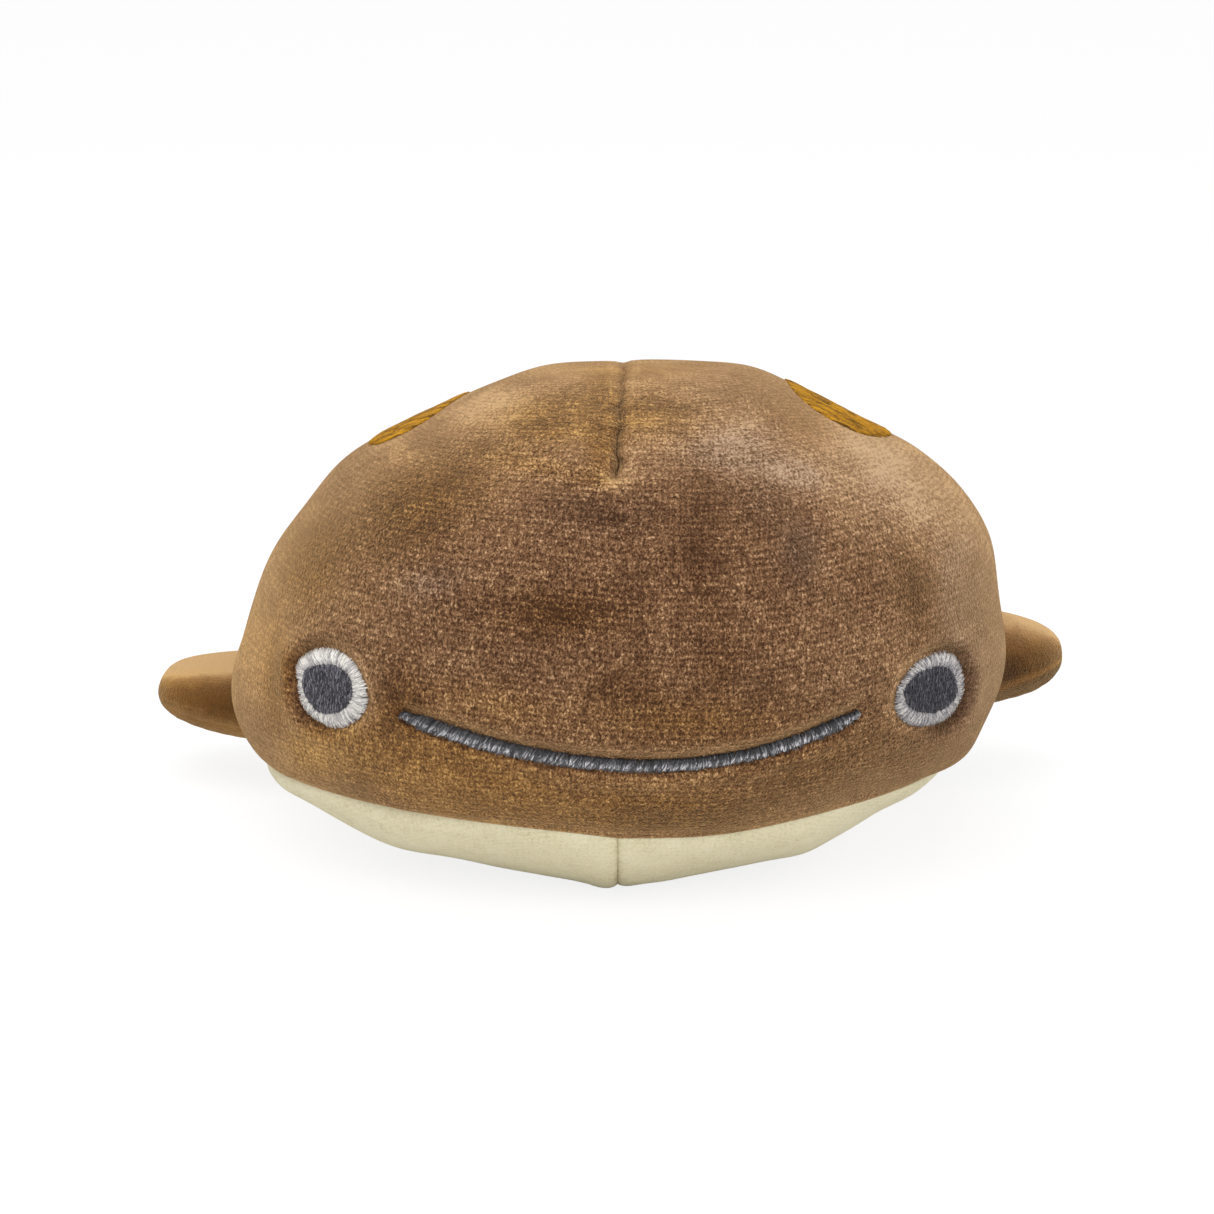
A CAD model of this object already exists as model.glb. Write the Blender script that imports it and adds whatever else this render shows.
"""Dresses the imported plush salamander: velour skins over stuffing, and embroidery sewn onto them.

Shapes are worked out in millimetres and turned to metres when a mesh is made. The toy faces -Y and
rests on its belly at z = 0.
"""

import logging
import math
from dataclasses import dataclass, field
from enum import Enum

import bpy
import numpy as np
from mathutils import Matrix, Vector
from mathutils.bvhtree import BVHTree
from mathutils.kdtree import KDTree


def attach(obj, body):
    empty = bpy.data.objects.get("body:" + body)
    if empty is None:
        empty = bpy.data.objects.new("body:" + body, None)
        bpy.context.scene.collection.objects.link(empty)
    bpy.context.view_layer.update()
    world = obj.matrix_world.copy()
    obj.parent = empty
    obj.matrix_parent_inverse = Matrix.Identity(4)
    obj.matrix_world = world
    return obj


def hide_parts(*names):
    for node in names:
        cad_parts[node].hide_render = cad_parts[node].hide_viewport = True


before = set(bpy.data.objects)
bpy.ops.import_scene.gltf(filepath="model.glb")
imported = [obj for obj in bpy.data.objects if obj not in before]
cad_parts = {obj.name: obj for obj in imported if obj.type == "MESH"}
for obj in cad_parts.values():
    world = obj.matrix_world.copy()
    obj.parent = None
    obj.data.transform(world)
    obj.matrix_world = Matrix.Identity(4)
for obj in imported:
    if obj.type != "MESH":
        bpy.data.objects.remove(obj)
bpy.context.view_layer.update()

MM = 0.001
LOG = logging.getLogger("salamander")
FULL_TURN = 2 * math.pi
# The knit's wales and courses of the real velour
WALE_MM = 0.91
COURSE_MM = 1.03
# What lies ahead of this place along the toy is its face
FACE_Y = -60.0
Tree = bpy.types.NodeTree
Socket = bpy.types.NodeSocket


def smooth_step(value: np.ndarray | float) -> np.ndarray:
    """0 below 0, 1 above 1 and an even S-shaped rise between."""
    held = np.clip(value, 0.0, 1.0)
    return held * held * (3.0 - 2.0 * held)


def bell(value: np.ndarray | float) -> np.ndarray:
    """1 at 0, falling evenly to nothing on both sides."""
    return np.exp(-np.square(value))


def unit(vectors: np.ndarray) -> np.ndarray:
    """The same vectors at length 1."""
    return vectors / np.maximum(np.linalg.norm(vectors, axis=-1, keepdims=True), 1e-12)


def linear(hex_colour: str) -> tuple[float, float, float, float]:
    """Turns an sRGB hex colour to the linear colour that the shaders take.

    Args:
        hex_colour: six hex digits after a #.

    Returns:
        Red, green, blue and an alpha of 1, linear.
    """
    parts = [int(hex_colour[k : k + 2], 16) / 255 for k in (1, 3, 5)]
    made = [p / 12.92 if p <= 0.04045 else ((p + 0.055) / 1.055) ** 2.4 for p in parts]
    return (made[0], made[1], made[2], 1.0)


def add_node(tree: Tree, kind: str, sockets: dict | None = None, **settings: object) -> bpy.types.Node:
    """Adds one node with its settings, and fills its inputs.

    Args:
        tree: the node tree that it joins.
        kind: the node's type, without the word ShaderNode.
        sockets: values, or output sockets to link, by input name or number.
        settings: the node's own options.

    Returns:
        The node.
    """
    node = tree.nodes.new("ShaderNode" + kind)
    for name, value in settings.items():
        setattr(node, name, value)
    for key, value in (sockets or {}).items():
        if isinstance(value, Socket):
            tree.links.new(value, node.inputs[key])
        else:
            node.inputs[key].default_value = value
    return node


def new_tree(name: str) -> tuple[bpy.types.Material, Tree]:
    """Adds a material with an empty node tree.

    Args:
        name: the material's name.

    Returns:
        The material and its tree.
    """
    made = bpy.data.materials.new(name)
    made.use_nodes = True
    made.node_tree.nodes.clear()
    return made, made.node_tree


def summed(tree: Tree, parts: list[tuple], start: float = 0.0) -> Socket:
    """Adds parts together, each times its weight.

    Args:
        tree: the material's nodes.
        parts: pairs of a socket and a weight, which is a number or a socket.
        start: what they are added to.

    Returns:
        The sum.
    """
    total: Socket | float = start
    for value, weight in parts:
        inputs = {0: value, 1: weight, 2: total}
        total = add_node(tree, "Math", inputs, operation="MULTIPLY_ADD").outputs[0]
    return total


def fill_ramp(node: bpy.types.Node, stops: list[tuple[float, str]]) -> None:
    """Sets the stops of a colour ramp.

    Args:
        node: the ramp's node.
        stops: places from 0 to 1 with their hex colours, in order.
    """
    elements = node.color_ramp.elements
    while len(elements) < len(stops):
        elements.new(1.0)
    for element, (place, colour) in zip(elements, stops):
        element.position = place
        element.color = linear(colour)


@dataclass(frozen=True)
class VelourFinish:
    """Knitted polyester velour: a short cut pile that stands in tufts on a knitted ground.

    It gives the eye fine streaks of light tips over dark gaps, faint knit lines, soft patches where the
    pile is brushed one way or another, a more golden or a cooler cast with that, and a pale bloom where
    it is seen edge on.
    """

    name: str
    gap: str
    body: str
    tip: str
    pale: str
    sheen: str
    fibre_mm: float = 0.32
    clump_mm: float = 0.9
    tuft_mm: float = 1.7
    mottle_mm: float = 3.4
    patch_mm: float = 13.0
    streak_mm: float = 2.4
    contrast: float = 1.0
    sheen_weight: float = 0.5
    sheen_roughness: float = 0.4
    roughness: float = 0.92
    relief_mm: float = 0.35
    relief_strength: float = 0.6
    gold_cast: str = "#FFF5C2"
    cool_cast: str = "#E4EAFF"

    def noise(self, tree: Tree, place: Socket, size_mm: float, **sockets: float) -> Socket:
        """Adds one noise of a real size, centred on nothing.

        Args:
            tree: the material's nodes.
            place: where it is looked up.
            size_mm: its size.
            sockets: its other inputs.

        Returns:
            The noise, from about -0.5 to 0.5.
        """
        inputs = {"Vector": place, "Scale": 1 / (size_mm * MM), **sockets}
        plain = add_node(tree, "TexNoise", inputs).outputs[0]
        return add_node(tree, "Math", {0: plain, 1: 0.5}, operation="SUBTRACT").outputs[0]

    def make(self) -> bpy.types.Material:
        """Builds the material.

        Returns:
            The material.
        """
        made, tree = new_tree(self.name)
        names = ("nap", "laid", "tufts", "brushed", "cast")
        carried = {name: add_node(tree, "Attribute", attribute_name=name).outputs["Fac"] for name in names}
        place = add_node(tree, "TexCoord").outputs["Object"]
        upright = add_node(tree, "Mapping", {"Vector": place, "Scale": (1, 1, 0.72)}).outputs[0]
        level = add_node(tree, "Mapping", {"Vector": place, "Scale": (0.22, 0.5, 1)}).outputs[0]
        # Single fibres: finer than the render can draw, so drawn as bundles of about a third of a millimetre
        fibre = self.noise(tree, upright, self.fibre_mm, Detail=2.0, Roughness=0.7, Distortion=0.7)
        clump = self.noise(tree, upright, self.clump_mm, Detail=1.0, Distortion=0.5)
        tuft = self.noise(tree, level, self.tuft_mm, Detail=2.0, Roughness=0.6, Distortion=0.6)
        mottle = self.noise(tree, place, self.mottle_mm, Detail=3.0, Roughness=0.6)
        patch = self.noise(tree, place, self.patch_mm, Detail=2.0)
        streak = self.noise(tree, level, self.streak_mm, Detail=3.0, Roughness=0.6)
        knit = add_node(tree, "Attribute", attribute_name="knit").outputs["Vector"]
        line = add_node(tree, "SeparateXYZ", {0: knit})
        wale, course = (
            add_node(tree, "Math", {0: line.outputs[axis]}, operation="SINE").outputs[0]
            for axis in ("X", "Y")
        )
        # How high the pile stands here: the colour and the relief both follow it
        pile = summed(tree, [(fibre, 2.7), (clump, 0.7), (wale, 0.035), (course, 0.08)])
        own = add_node(tree, "Math", {0: carried["nap"], 1: self.contrast}, operation="MULTIPLY").outputs[0]
        laid = add_node(tree, "Math", {0: carried["laid"], 1: 0.9}, operation="MULTIPLY").outputs[0]
        parts = [(pile, own), (tuft, carried["tufts"]), (streak, laid), (mottle, 0.28), (patch, 0.45)]
        tone = summed(tree, [*parts, (carried["brushed"], 1.0)], 0.5)
        ramp = add_node(tree, "ValToRGB", {0: tone})
        fill_ramp(ramp, [(0.0, self.gap), (0.45, self.body), (0.75, self.tip), (1.0, self.pale)])
        colour = ramp.outputs[0]
        cool_inputs = {0: carried["cast"], 1: -2.7}
        cool = add_node(tree, "Math", cool_inputs, operation="MULTIPLY", use_clamp=True).outputs[0]
        gold = add_node(tree, "Math", {0: carried["cast"], 1: 0.0}, operation="MAXIMUM").outputs[0]
        for share, cast in ((gold, self.gold_cast), (cool, self.cool_cast)):
            inputs = {"Factor": share, 6: colour, 7: linear(cast)}
            mix = add_node(tree, "Mix", inputs, data_type="RGBA", blend_type="MULTIPLY", clamp_factor=False)
            colour = mix.outputs[2]
        bump = add_node(
            tree,
            "Bump",
            {"Height": pile, "Distance": self.relief_mm * MM, "Strength": self.relief_strength},
        )
        shader = add_node(
            tree,
            "BsdfPrincipled",
            {
                "Base Color": colour,
                "Roughness": self.roughness,
                "Specular IOR Level": 0.2,
                "Sheen Weight": self.sheen_weight,
                "Sheen Roughness": self.sheen_roughness,
                "Sheen Tint": linear(self.sheen),
                "Normal": bump.outputs[0],
            },
        )
        add_node(tree, "OutputMaterial", {"Surface": shader.outputs[0]})
        return made


@dataclass(frozen=True)
class ThreadFinish:
    """Twisted polyester embroidery thread, slightly glossy, in tight satin stitches.

    It gives the eye fine bright and dark lines along the stitches, as each strand takes the light.
    """

    name: str
    dark: str
    body: str
    light: str
    roughness: float = 0.45
    sheen_weight: float = 0.15
    specular: float = 0.5
    fuzz: float = 1.1
    twist_mm: float = 0.7

    def make(self) -> bpy.types.Material:
        """Builds the material.

        Returns:
            The material.
        """
        made, tree = new_tree(self.name)
        strand = add_node(tree, "Attribute", attribute_name="strand").outputs["Fac"]
        shade = add_node(tree, "Attribute", attribute_name="shade").outputs["Fac"]
        run = add_node(tree, "Attribute", attribute_name="run").outputs["Vector"]
        frizz = {"Vector": run, "Scale": 2.6, "Detail": 3.0, "Roughness": 0.7}
        fuzz = add_node(tree, "TexNoise", frizz).outputs[0]
        # The noise is about 0.5 in the middle, so half the fuzz comes off again
        base = 0.2 - 0.5 * self.fuzz
        level = summed(tree, [(strand, 0.6), (fuzz, self.fuzz), (shade, 1.0)], base)
        ramp = add_node(tree, "ValToRGB", {0: level})
        fill_ramp(ramp, [(0.0, self.dark), (0.5, self.body), (1.0, self.light)])
        # Twist of the two plies: finer than the render can draw, so drawn at about 0.7 mm a turn
        twist = add_node(
            tree,
            "TexWave",
            {"Vector": run, "Scale": 1 / self.twist_mm, "Distortion": 0.6},
            bands_direction="DIAGONAL",
        ).outputs[1]
        bump = add_node(tree, "Bump", {"Height": twist, "Distance": 0.05 * MM, "Strength": 0.5})
        shader = add_node(
            tree,
            "BsdfPrincipled",
            {
                "Base Color": ramp.outputs[0],
                "Roughness": self.roughness,
                "Specular IOR Level": self.specular,
                "Sheen Weight": self.sheen_weight,
                "Sheen Roughness": 0.3,
                "Normal": bump.outputs[0],
            },
        )
        add_node(tree, "OutputMaterial", {"Surface": shader.outputs[0]})
        return made


@dataclass(frozen=True)
class FloorFinish:
    """Matt white studio paper. The camera sees it nearly white, with the object's shadow left on it."""

    name: str = "studio_paper"
    paper: str = "#E6E6E6"
    seen_paper: float = 0.22
    glow: float = 0.83

    def make(self) -> bpy.types.Material:
        """Builds the material.

        Returns:
            The material.
        """
        made, tree = new_tree(self.name)
        seen = seen_by_camera(tree)
        plain = add_node(tree, "BsdfDiffuse", {"Color": linear(self.paper)}).outputs[0]
        dim = add_node(tree, "BsdfDiffuse", {"Color": (self.seen_paper,) * 3 + (1.0,)}).outputs[0]
        glow = add_node(tree, "Emission", {"Color": (1, 1, 1, 1), "Strength": self.glow}).outputs[0]
        white = add_node(tree, "AddShader", {0: glow, 1: dim}).outputs[0]
        mixed = add_node(tree, "MixShader", {0: seen, 1: plain, 2: white}).outputs[0]
        add_node(tree, "OutputMaterial", {"Surface": mixed})
        return made


def seen_by_camera(tree: Tree) -> Socket:
    """Tells rays from the camera, and those that gloss or glass pass on, from others.

    Args:
        tree: the nodes that it joins.

    Returns:
        1 for such rays and 0 for others.
    """
    path = add_node(tree, "LightPath")
    total = path.outputs["Is Camera Ray"]
    for name in ("Is Glossy Ray", "Is Transmission Ray"):
        both = {0: total, 1: path.outputs[name]}
        total = add_node(tree, "Math", both, operation="ADD", use_clamp=True).outputs[0]
    return total


class Slot(Enum):
    """The record's material slots that the pieces take their finish from."""

    BROWN = "brown_velour"
    CREAM = "cream_velour"
    RING = "ring_thread"
    PUPIL = "pupil_thread"
    MOUTH = "mouth_thread"
    GOLD = "gold_thread"


FINISHES: dict[Slot, VelourFinish | ThreadFinish] = {
    Slot.BROWN: VelourFinish(
        "brown_polyester_velour",
        gap="#3A200E",
        body="#785439",
        tip="#A8805C",
        pale="#DCB68A",
        sheen="#ECC48C",
        sheen_weight=1.0,
    ),
    Slot.CREAM: VelourFinish(
        "cream_polyester_velour",
        gap="#A89C78",
        body="#E6DEBE",
        tip="#F2ECD2",
        pale="#FAF6E4",
        sheen="#F4EBD8",
        contrast=0.3,
        relief_strength=0.25,
        sheen_weight=0.25,
    ),
    Slot.RING: ThreadFinish("pale_polyester_thread", "#6A6872", "#C8C2BE", "#FFFCF4", fuzz=1.9),
    Slot.PUPIL: ThreadFinish("slate_polyester_thread", "#121116", "#37353D", "#918E98", fuzz=1.6),
    Slot.MOUTH: ThreadFinish("grey_polyester_thread", "#141418", "#565558", "#E4E2E6", fuzz=1.2),
    Slot.GOLD: ThreadFinish(
        "gold_polyester_thread", "#3E2400", "#A87404", "#D8A010", sheen_weight=0.0, specular=0.25, fuzz=1.7
    ),
}
MATERIALS = {slot: finish.make() for slot, finish in FINISHES.items()}


@dataclass
class Cloth:
    """A mesh in the making: points in mm, faces, and what each point carries for its material."""

    points: np.ndarray
    faces: list[tuple[int, ...]]
    carried: dict[str, np.ndarray] = field(default_factory=dict)

    def normals(self) -> np.ndarray:
        """Works out the outward direction at each point from its four-sided faces.

        Returns:
            One unit vector a point.
        """
        quads = np.array([face for face in self.faces if len(face) == 4], int)
        corners = self.points[quads]
        area = np.cross(corners[:, 2] - corners[:, 0], corners[:, 3] - corners[:, 1])
        total = np.zeros_like(self.points)
        for k in range(4):
            np.add.at(total, quads[:, k], area)
        return unit(total)

    def seal(self, middle: tuple[float, float, float]) -> None:
        """Closes the open edge, out of sight inside the toy, with faces to one point.

        Args:
            middle: the point inside, in mm.
        """
        # A dict keeps the edges in order, so that the faces come out the same each time
        seen = dict.fromkeys(edge for face in self.faces for edge in zip(face, face[1:] + face[:1]))
        open_edges = [edge for edge in seen if (edge[1], edge[0]) not in seen]
        hub = len(self.points)
        self.points = np.vstack([self.points, middle])
        self.faces += [(b, a, hub) for a, b in open_edges]
        for name, values in self.carried.items():
            self.carried[name] = np.concatenate([values, values[:1]])

    def to_object(self, name: str, slot: Slot) -> bpy.types.Object:
        """Makes the Blender object.

        Args:
            name: the piece's name.
            slot: the finish that it takes.

        Returns:
            The object, smooth shaded, with its material.
        """
        mesh = bpy.data.meshes.new(name)
        mesh.from_pydata((self.points * MM).tolist(), [], self.faces)
        for key, values in self.carried.items():
            kind, word = ("FLOAT", "value") if values.ndim == 1 else ("FLOAT_VECTOR", "vector")
            layer = mesh.attributes.new(key, kind, "POINT")
            layer.data.foreach_set(word, values.astype(np.float32).ravel())
        mesh.shade_smooth()
        mesh.materials.append(MATERIALS[slot])
        made = bpy.data.objects.new(name, mesh)
        bpy.context.scene.collection.objects.link(made)
        return made


def place_piece(piece: bpy.types.Object, nodes: list[str]) -> None:
    """Joins a finished piece to the frame and reports it.

    Args:
        piece: the finished object.
        nodes: the CAD nodes that it stands for.
    """
    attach(piece, "root")
    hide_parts(*nodes)
    LOG.info("%s: %d faces, stands for %s", piece.name, len(piece.data.polygons), ", ".join(nodes))


def welded(grid: np.ndarray, closed: bool, carried: dict[str, np.ndarray]) -> Cloth:
    """Joins a grid of points to one cloth, with points at one place made one.

    Args:
        grid: rows by columns by three, in mm.
        closed: whether the last column joins the first.
        carried: values for each point of the grid.

    Returns:
        The cloth, with faces that collapsed left out.
    """
    rows, cols = grid.shape[:2]
    flat = grid.reshape(-1, 3)
    # Points within a ten-thousandth of a millimetre are one
    keys = np.round(flat * 1e4).astype(np.int64)
    _, first, index = np.unique(keys, axis=0, return_index=True, return_inverse=True)
    index = index.reshape(rows, cols)
    across = np.concatenate([index, index[:, :1]], axis=1) if closed else index
    corners = [across[:-1, :-1], across[:-1, 1:], across[1:, 1:], across[1:, :-1]]
    quads = np.stack(corners, axis=-1).reshape(-1, 4)
    faces = []
    for quad in quads.tolist():
        ring = list(dict.fromkeys(quad))
        if len(ring) > 2:
            faces.append(tuple(ring))
    kept = {key: values.reshape(rows * cols, *values.shape[2:])[first] for key, values in carried.items()}
    return Cloth(flat[first].copy(), faces, kept)


def knit_lines(around: np.ndarray, up: np.ndarray) -> np.ndarray:
    """Turns distances over the cloth, in mm, to the angles of its knit lines."""
    return np.stack([around * FULL_TURN / WALE_MM, up * FULL_TURN / COURSE_MM, 0 * up], axis=-1)


@dataclass(frozen=True)
class Columns:
    """The lines over the body, one entry each: where each is widest and what ridge it joins."""

    side: np.ndarray
    along: np.ndarray
    anchor: np.ndarray
    level: np.ndarray
    top: np.ndarray
    facing: np.ndarray
    in_front: np.ndarray


@dataclass(frozen=True)
class BodyForm:
    """The stuffed body's outside, with the sizes of the CAD model, in mm and degrees."""

    head_half_width: float = 66.0
    head_front_depth: float = 44.0
    head_height: float = 87.0
    level_side: float = 35.0
    level_face: float = 44.0
    rear_length: float = 140.0
    tail_half_width: float = 17.0
    tail_height: float = 32.0
    tail_level: float = 16.0
    belly_sag: float = 2.5
    keel_drop: float = 2.0
    keel_spread: float = 16.0
    side_lean: float = 0.16
    crown_shift: float = 1.5
    seam_angle_side: float = 25.5
    seam_angle_face: float = 36.8
    slump: float = 2.1
    slump_side: float = -29.0
    slump_spread: float = 11.0
    seam_dip_angle: float = 3.2
    seam_dip_side: float = 22.5
    seam_dip_spread: float = 21.0

    @property
    def head_y(self) -> float:
        """Where the head is widest, along the toy."""
        return (self.head_front_depth - self.rear_length - self.tail_half_width) / 2

    def rear_sizes(self, share: np.ndarray) -> tuple[np.ndarray, np.ndarray, np.ndarray]:
        """Half width, widest level and height behind the head.

        Args:
            share: from 0 at the head to 1 at the tail.

        Returns:
            The three sizes, in mm.
        """
        taper = smooth_step(share)
        half_width = self.head_half_width + (self.tail_half_width - self.head_half_width) * taper
        level = self.level_side + (self.tail_level - self.level_side) * taper
        height = self.head_height + (self.tail_height - self.head_height) * smooth_step(share / 0.95)
        return half_width, level, height

    def columns(self, face: int, side: int, tip: int) -> Columns:
        """Lays out the columns from the middle of the face, round the right side and the tail, and back.

        Args:
            face: columns on each half of the face, closest together in the middle.
            side: columns on each side of the body.
            tip: columns round the tail.

        Returns:
            The columns, starting at the tail's middle so that no pattern breaks in view.
        """
        spread = np.linspace(-1, 1, 2 * face + 1)
        turn = np.radians(90) * (0.45 * spread + 0.55 * spread**3)
        facing = np.cos(turn) ** 2
        groups = [
            (
                self.head_half_width * np.sin(turn),
                self.head_y - self.head_front_depth * np.cos(turn),
                np.full_like(turn, self.head_y),
                self.level_side + (self.level_face - self.level_side) * facing,
                np.full_like(turn, self.head_height),
                facing,
                np.ones_like(turn),
            )
        ]
        share = np.linspace(0, 1, side + 1)[1:]
        half_width, level, height = self.rear_sizes(share)
        along = self.head_y + self.rear_length * share
        none = np.zeros_like(share)
        right = (half_width, along, along, level, height, none, none)
        left = (-half_width[::-1], along[::-1], along[::-1], level[::-1], height[::-1], none, none)
        turn = np.linspace(math.pi / 2, -math.pi / 2, tip + 1)[1:-1]
        tip_y = np.full_like(turn, self.head_y + self.rear_length)
        none = np.zeros_like(turn)
        fan = (
            self.tail_half_width * np.sin(turn),
            tip_y + self.tail_half_width * np.cos(turn),
            tip_y,
            none + self.tail_level,
            none + self.tail_height,
            none,
            none,
        )
        groups += [right, fan, left]
        joined = [np.concatenate(parts) for parts in zip(*groups)]
        half = tip // 2
        start = 2 * face + 1 + side + half - 1
        return Columns(*[np.roll(values, -start) for values in joined])

    def seam_latitude(self, columns: Columns) -> np.ndarray:
        """Where the seam between brown and cream runs.

        Args:
            columns: the columns.

        Returns:
            Its latitude in radians, one a column.
        """
        angle = self.seam_angle_side + (self.seam_angle_face - self.seam_angle_side) * columns.facing
        dip = bell((columns.side - self.seam_dip_side) / self.seam_dip_spread) * columns.in_front
        return -np.radians(angle + self.seam_dip_angle * dip)

    def points(self, columns: Columns, latitude: np.ndarray, inset: np.ndarray | float = 0.0) -> np.ndarray:
        """Works out points of the outside.

        Args:
            columns: the columns.
            latitude: rows by columns, from -90 degrees at the keel to 90 at the ridge, in radians.
            inset: how far under the outside the points lie, in mm.

        Returns:
            Rows by columns by three, in mm.
        """
        reach_y = columns.along - columns.anchor
        length = np.hypot(columns.side, reach_y)
        kept = (length - inset) / length
        spread = np.maximum(np.cos(latitude), 0.0)
        lift = np.abs(np.sin(latitude))
        x = columns.side * kept * spread
        y = columns.anchor + reach_y * kept * spread
        high = columns.level + (columns.top - inset - columns.level) * lift
        low = columns.level - (columns.level + self.belly_sag - inset) * lift
        forward = smooth_step((self.head_y - y) / 30.0)
        low = low - self.keel_drop * forward * np.exp(-np.abs(x) / self.keel_spread) * lift
        z = np.where(latitude >= 0, high, low)
        outward = (x / self.head_half_width) ** 2
        raised = np.clip((z - self.level_side) / (self.head_height - self.level_side), 0.0, 1.0)
        at_head = 1.0 - smooth_step((y - self.head_y) / self.rear_length)
        z = z - self.slump * bell((x - self.slump_side) / self.slump_spread) * at_head * raised**2
        x = x + self.side_lean * (z - self.level_side) * outward + self.crown_shift * at_head * raised**1.5
        z = np.maximum(z, np.minimum(inset, 4.0))
        return np.stack([x, y, z], axis=-1)


class Seat:
    """Finds places on a finished skin for what is sewn onto it."""

    def __init__(self, cloth: Cloth) -> None:
        """Gets the skin ready to be searched."""
        self.tree = BVHTree.FromPolygons(cloth.points.tolist(), cloth.faces)

    def under(self, point: np.ndarray, direction: np.ndarray) -> np.ndarray:
        """The skin's first point met from outside.

        Args:
            point: a point near the skin, in mm.
            direction: unit vector into the toy.

        Returns:
            The point on the skin, or the point itself where nothing is met.
        """
        start = Vector(point) - Vector(direction) * 40.0
        found = self.tree.ray_cast(start, Vector(direction))[0]
        return np.array(found) if found is not None else np.array(point, float)

    def met(self, start: np.ndarray, direction: np.ndarray) -> np.ndarray:
        """The skin's point that a ray meets, or its nearest one where the ray passes by.

        Args:
            start: where the ray starts, in mm.
            direction: unit vector along it.

        Returns:
            The point on the skin.
        """
        found = self.tree.ray_cast(Vector(start), Vector(direction))[0]
        if found is None:
            found = self.tree.find_nearest(Vector(start + direction * 450.0))[0]
        return np.array(found)


@dataclass(frozen=True)
class Sight:
    """The photograph's camera. It seats on the skin what was measured in the photograph's pixels."""

    look_at: tuple[float, float, float] = (-1.74, -56.5, 44.58)
    distance: float = 500.0
    elevation: float = 15.0
    lens: float = 86.9
    sensor: float = 36.0
    image: float = 1214.0

    @property
    def back(self) -> np.ndarray:
        """The direction from the toy to the camera."""
        angle = math.radians(self.elevation)
        return np.array([0.0, -math.cos(angle), math.sin(angle)])

    @property
    def top(self) -> np.ndarray:
        """The picture's upward direction."""
        return np.cross([1.0, 0.0, 0.0], -self.back)

    @property
    def place(self) -> np.ndarray:
        """Where the camera stands, in mm."""
        return np.array(self.look_at) + self.distance * self.back

    @property
    def focal(self) -> float:
        """The focal length in pixels."""
        return self.lens / self.sensor * self.image

    def pixels(self, points: np.ndarray) -> np.ndarray:
        """Where points show in the photograph, from its top left corner.

        Args:
            points: the points, in mm.

        Returns:
            Across and down for each point.
        """
        gap = points - self.place
        depth = -(gap @ self.back)
        half = self.image / 2
        across = half + self.focal * gap[..., 0] / depth
        down = half - self.focal * (gap @ self.top) / depth
        return np.stack([across, down], axis=-1)

    def seated(self, seat: Seat, pixels: np.ndarray) -> np.ndarray:
        """The places on the skin that show at given pixels.

        Args:
            seat: the skin.
            pixels: across and down, with a last axis of two.

        Returns:
            The points, with a last axis of three, in mm.
        """
        half = self.image / 2
        flat = pixels.reshape(-1, 2)
        rays = -self.back * self.focal + (flat[:, :1] - half) * np.array([1.0, 0.0, 0.0])
        rays = unit(rays + (half - flat[:, 1:]) * self.top)
        start = self.place
        return np.array([seat.met(start, ray) for ray in rays]).reshape(*pixels.shape[:-1], 3)


SIGHT = Sight()


@dataclass(frozen=True)
class Patch:
    """A flat frame over the skin that embroidery is laid out in."""

    middle: np.ndarray
    across: np.ndarray
    up: np.ndarray
    out: np.ndarray

    def dropped(self, seat: Seat, across: np.ndarray, up: np.ndarray) -> np.ndarray:
        """Drops flat places onto the skin.

        Args:
            seat: the skin.
            across: places across, any shape.
            up: places up, same shape.

        Returns:
            The points on the skin, with a last axis of three.
        """
        flat = self.middle + across[..., None] * self.across + up[..., None] * self.up
        found = [seat.under(point, -self.out) for point in flat.reshape(-1, 3)]
        return np.array(found).reshape(flat.shape)


def face_out(points: np.ndarray, form: BodyForm) -> np.ndarray:
    """The level outward direction of the face.

    Args:
        points: the points, in mm.
        form: the body's sizes.

    Returns:
        One unit vector a point.
    """
    side = points[..., 0] / form.head_half_width**2
    ahead = (points[..., 1] - form.head_y) / form.head_front_depth**2
    return unit(np.stack([side, ahead, 0 * side], axis=-1))


@dataclass(frozen=True)
class Outline:
    """A closed outline round a middle, read off the photograph: places across and up in its pixels."""

    places: tuple[tuple[float, float], ...]

    def reach(self, angle: np.ndarray) -> np.ndarray:
        """How far the outline is from the middle.

        Args:
            angle: the angles, in radians.

        Returns:
            The distance at each, in pixels.
        """
        spots = np.array(self.places)
        turns = np.arctan2(spots[:, 1], spots[:, 0])
        order = np.argsort(turns)
        turns, sizes = turns[order], np.hypot(spots[:, 0], spots[:, 1])[order]
        held = (np.asarray(angle) + math.pi) % FULL_TURN - math.pi
        around = np.concatenate([turns - FULL_TURN, turns, turns + FULL_TURN])
        return np.interp(held, around, np.tile(sizes, 3))


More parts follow.
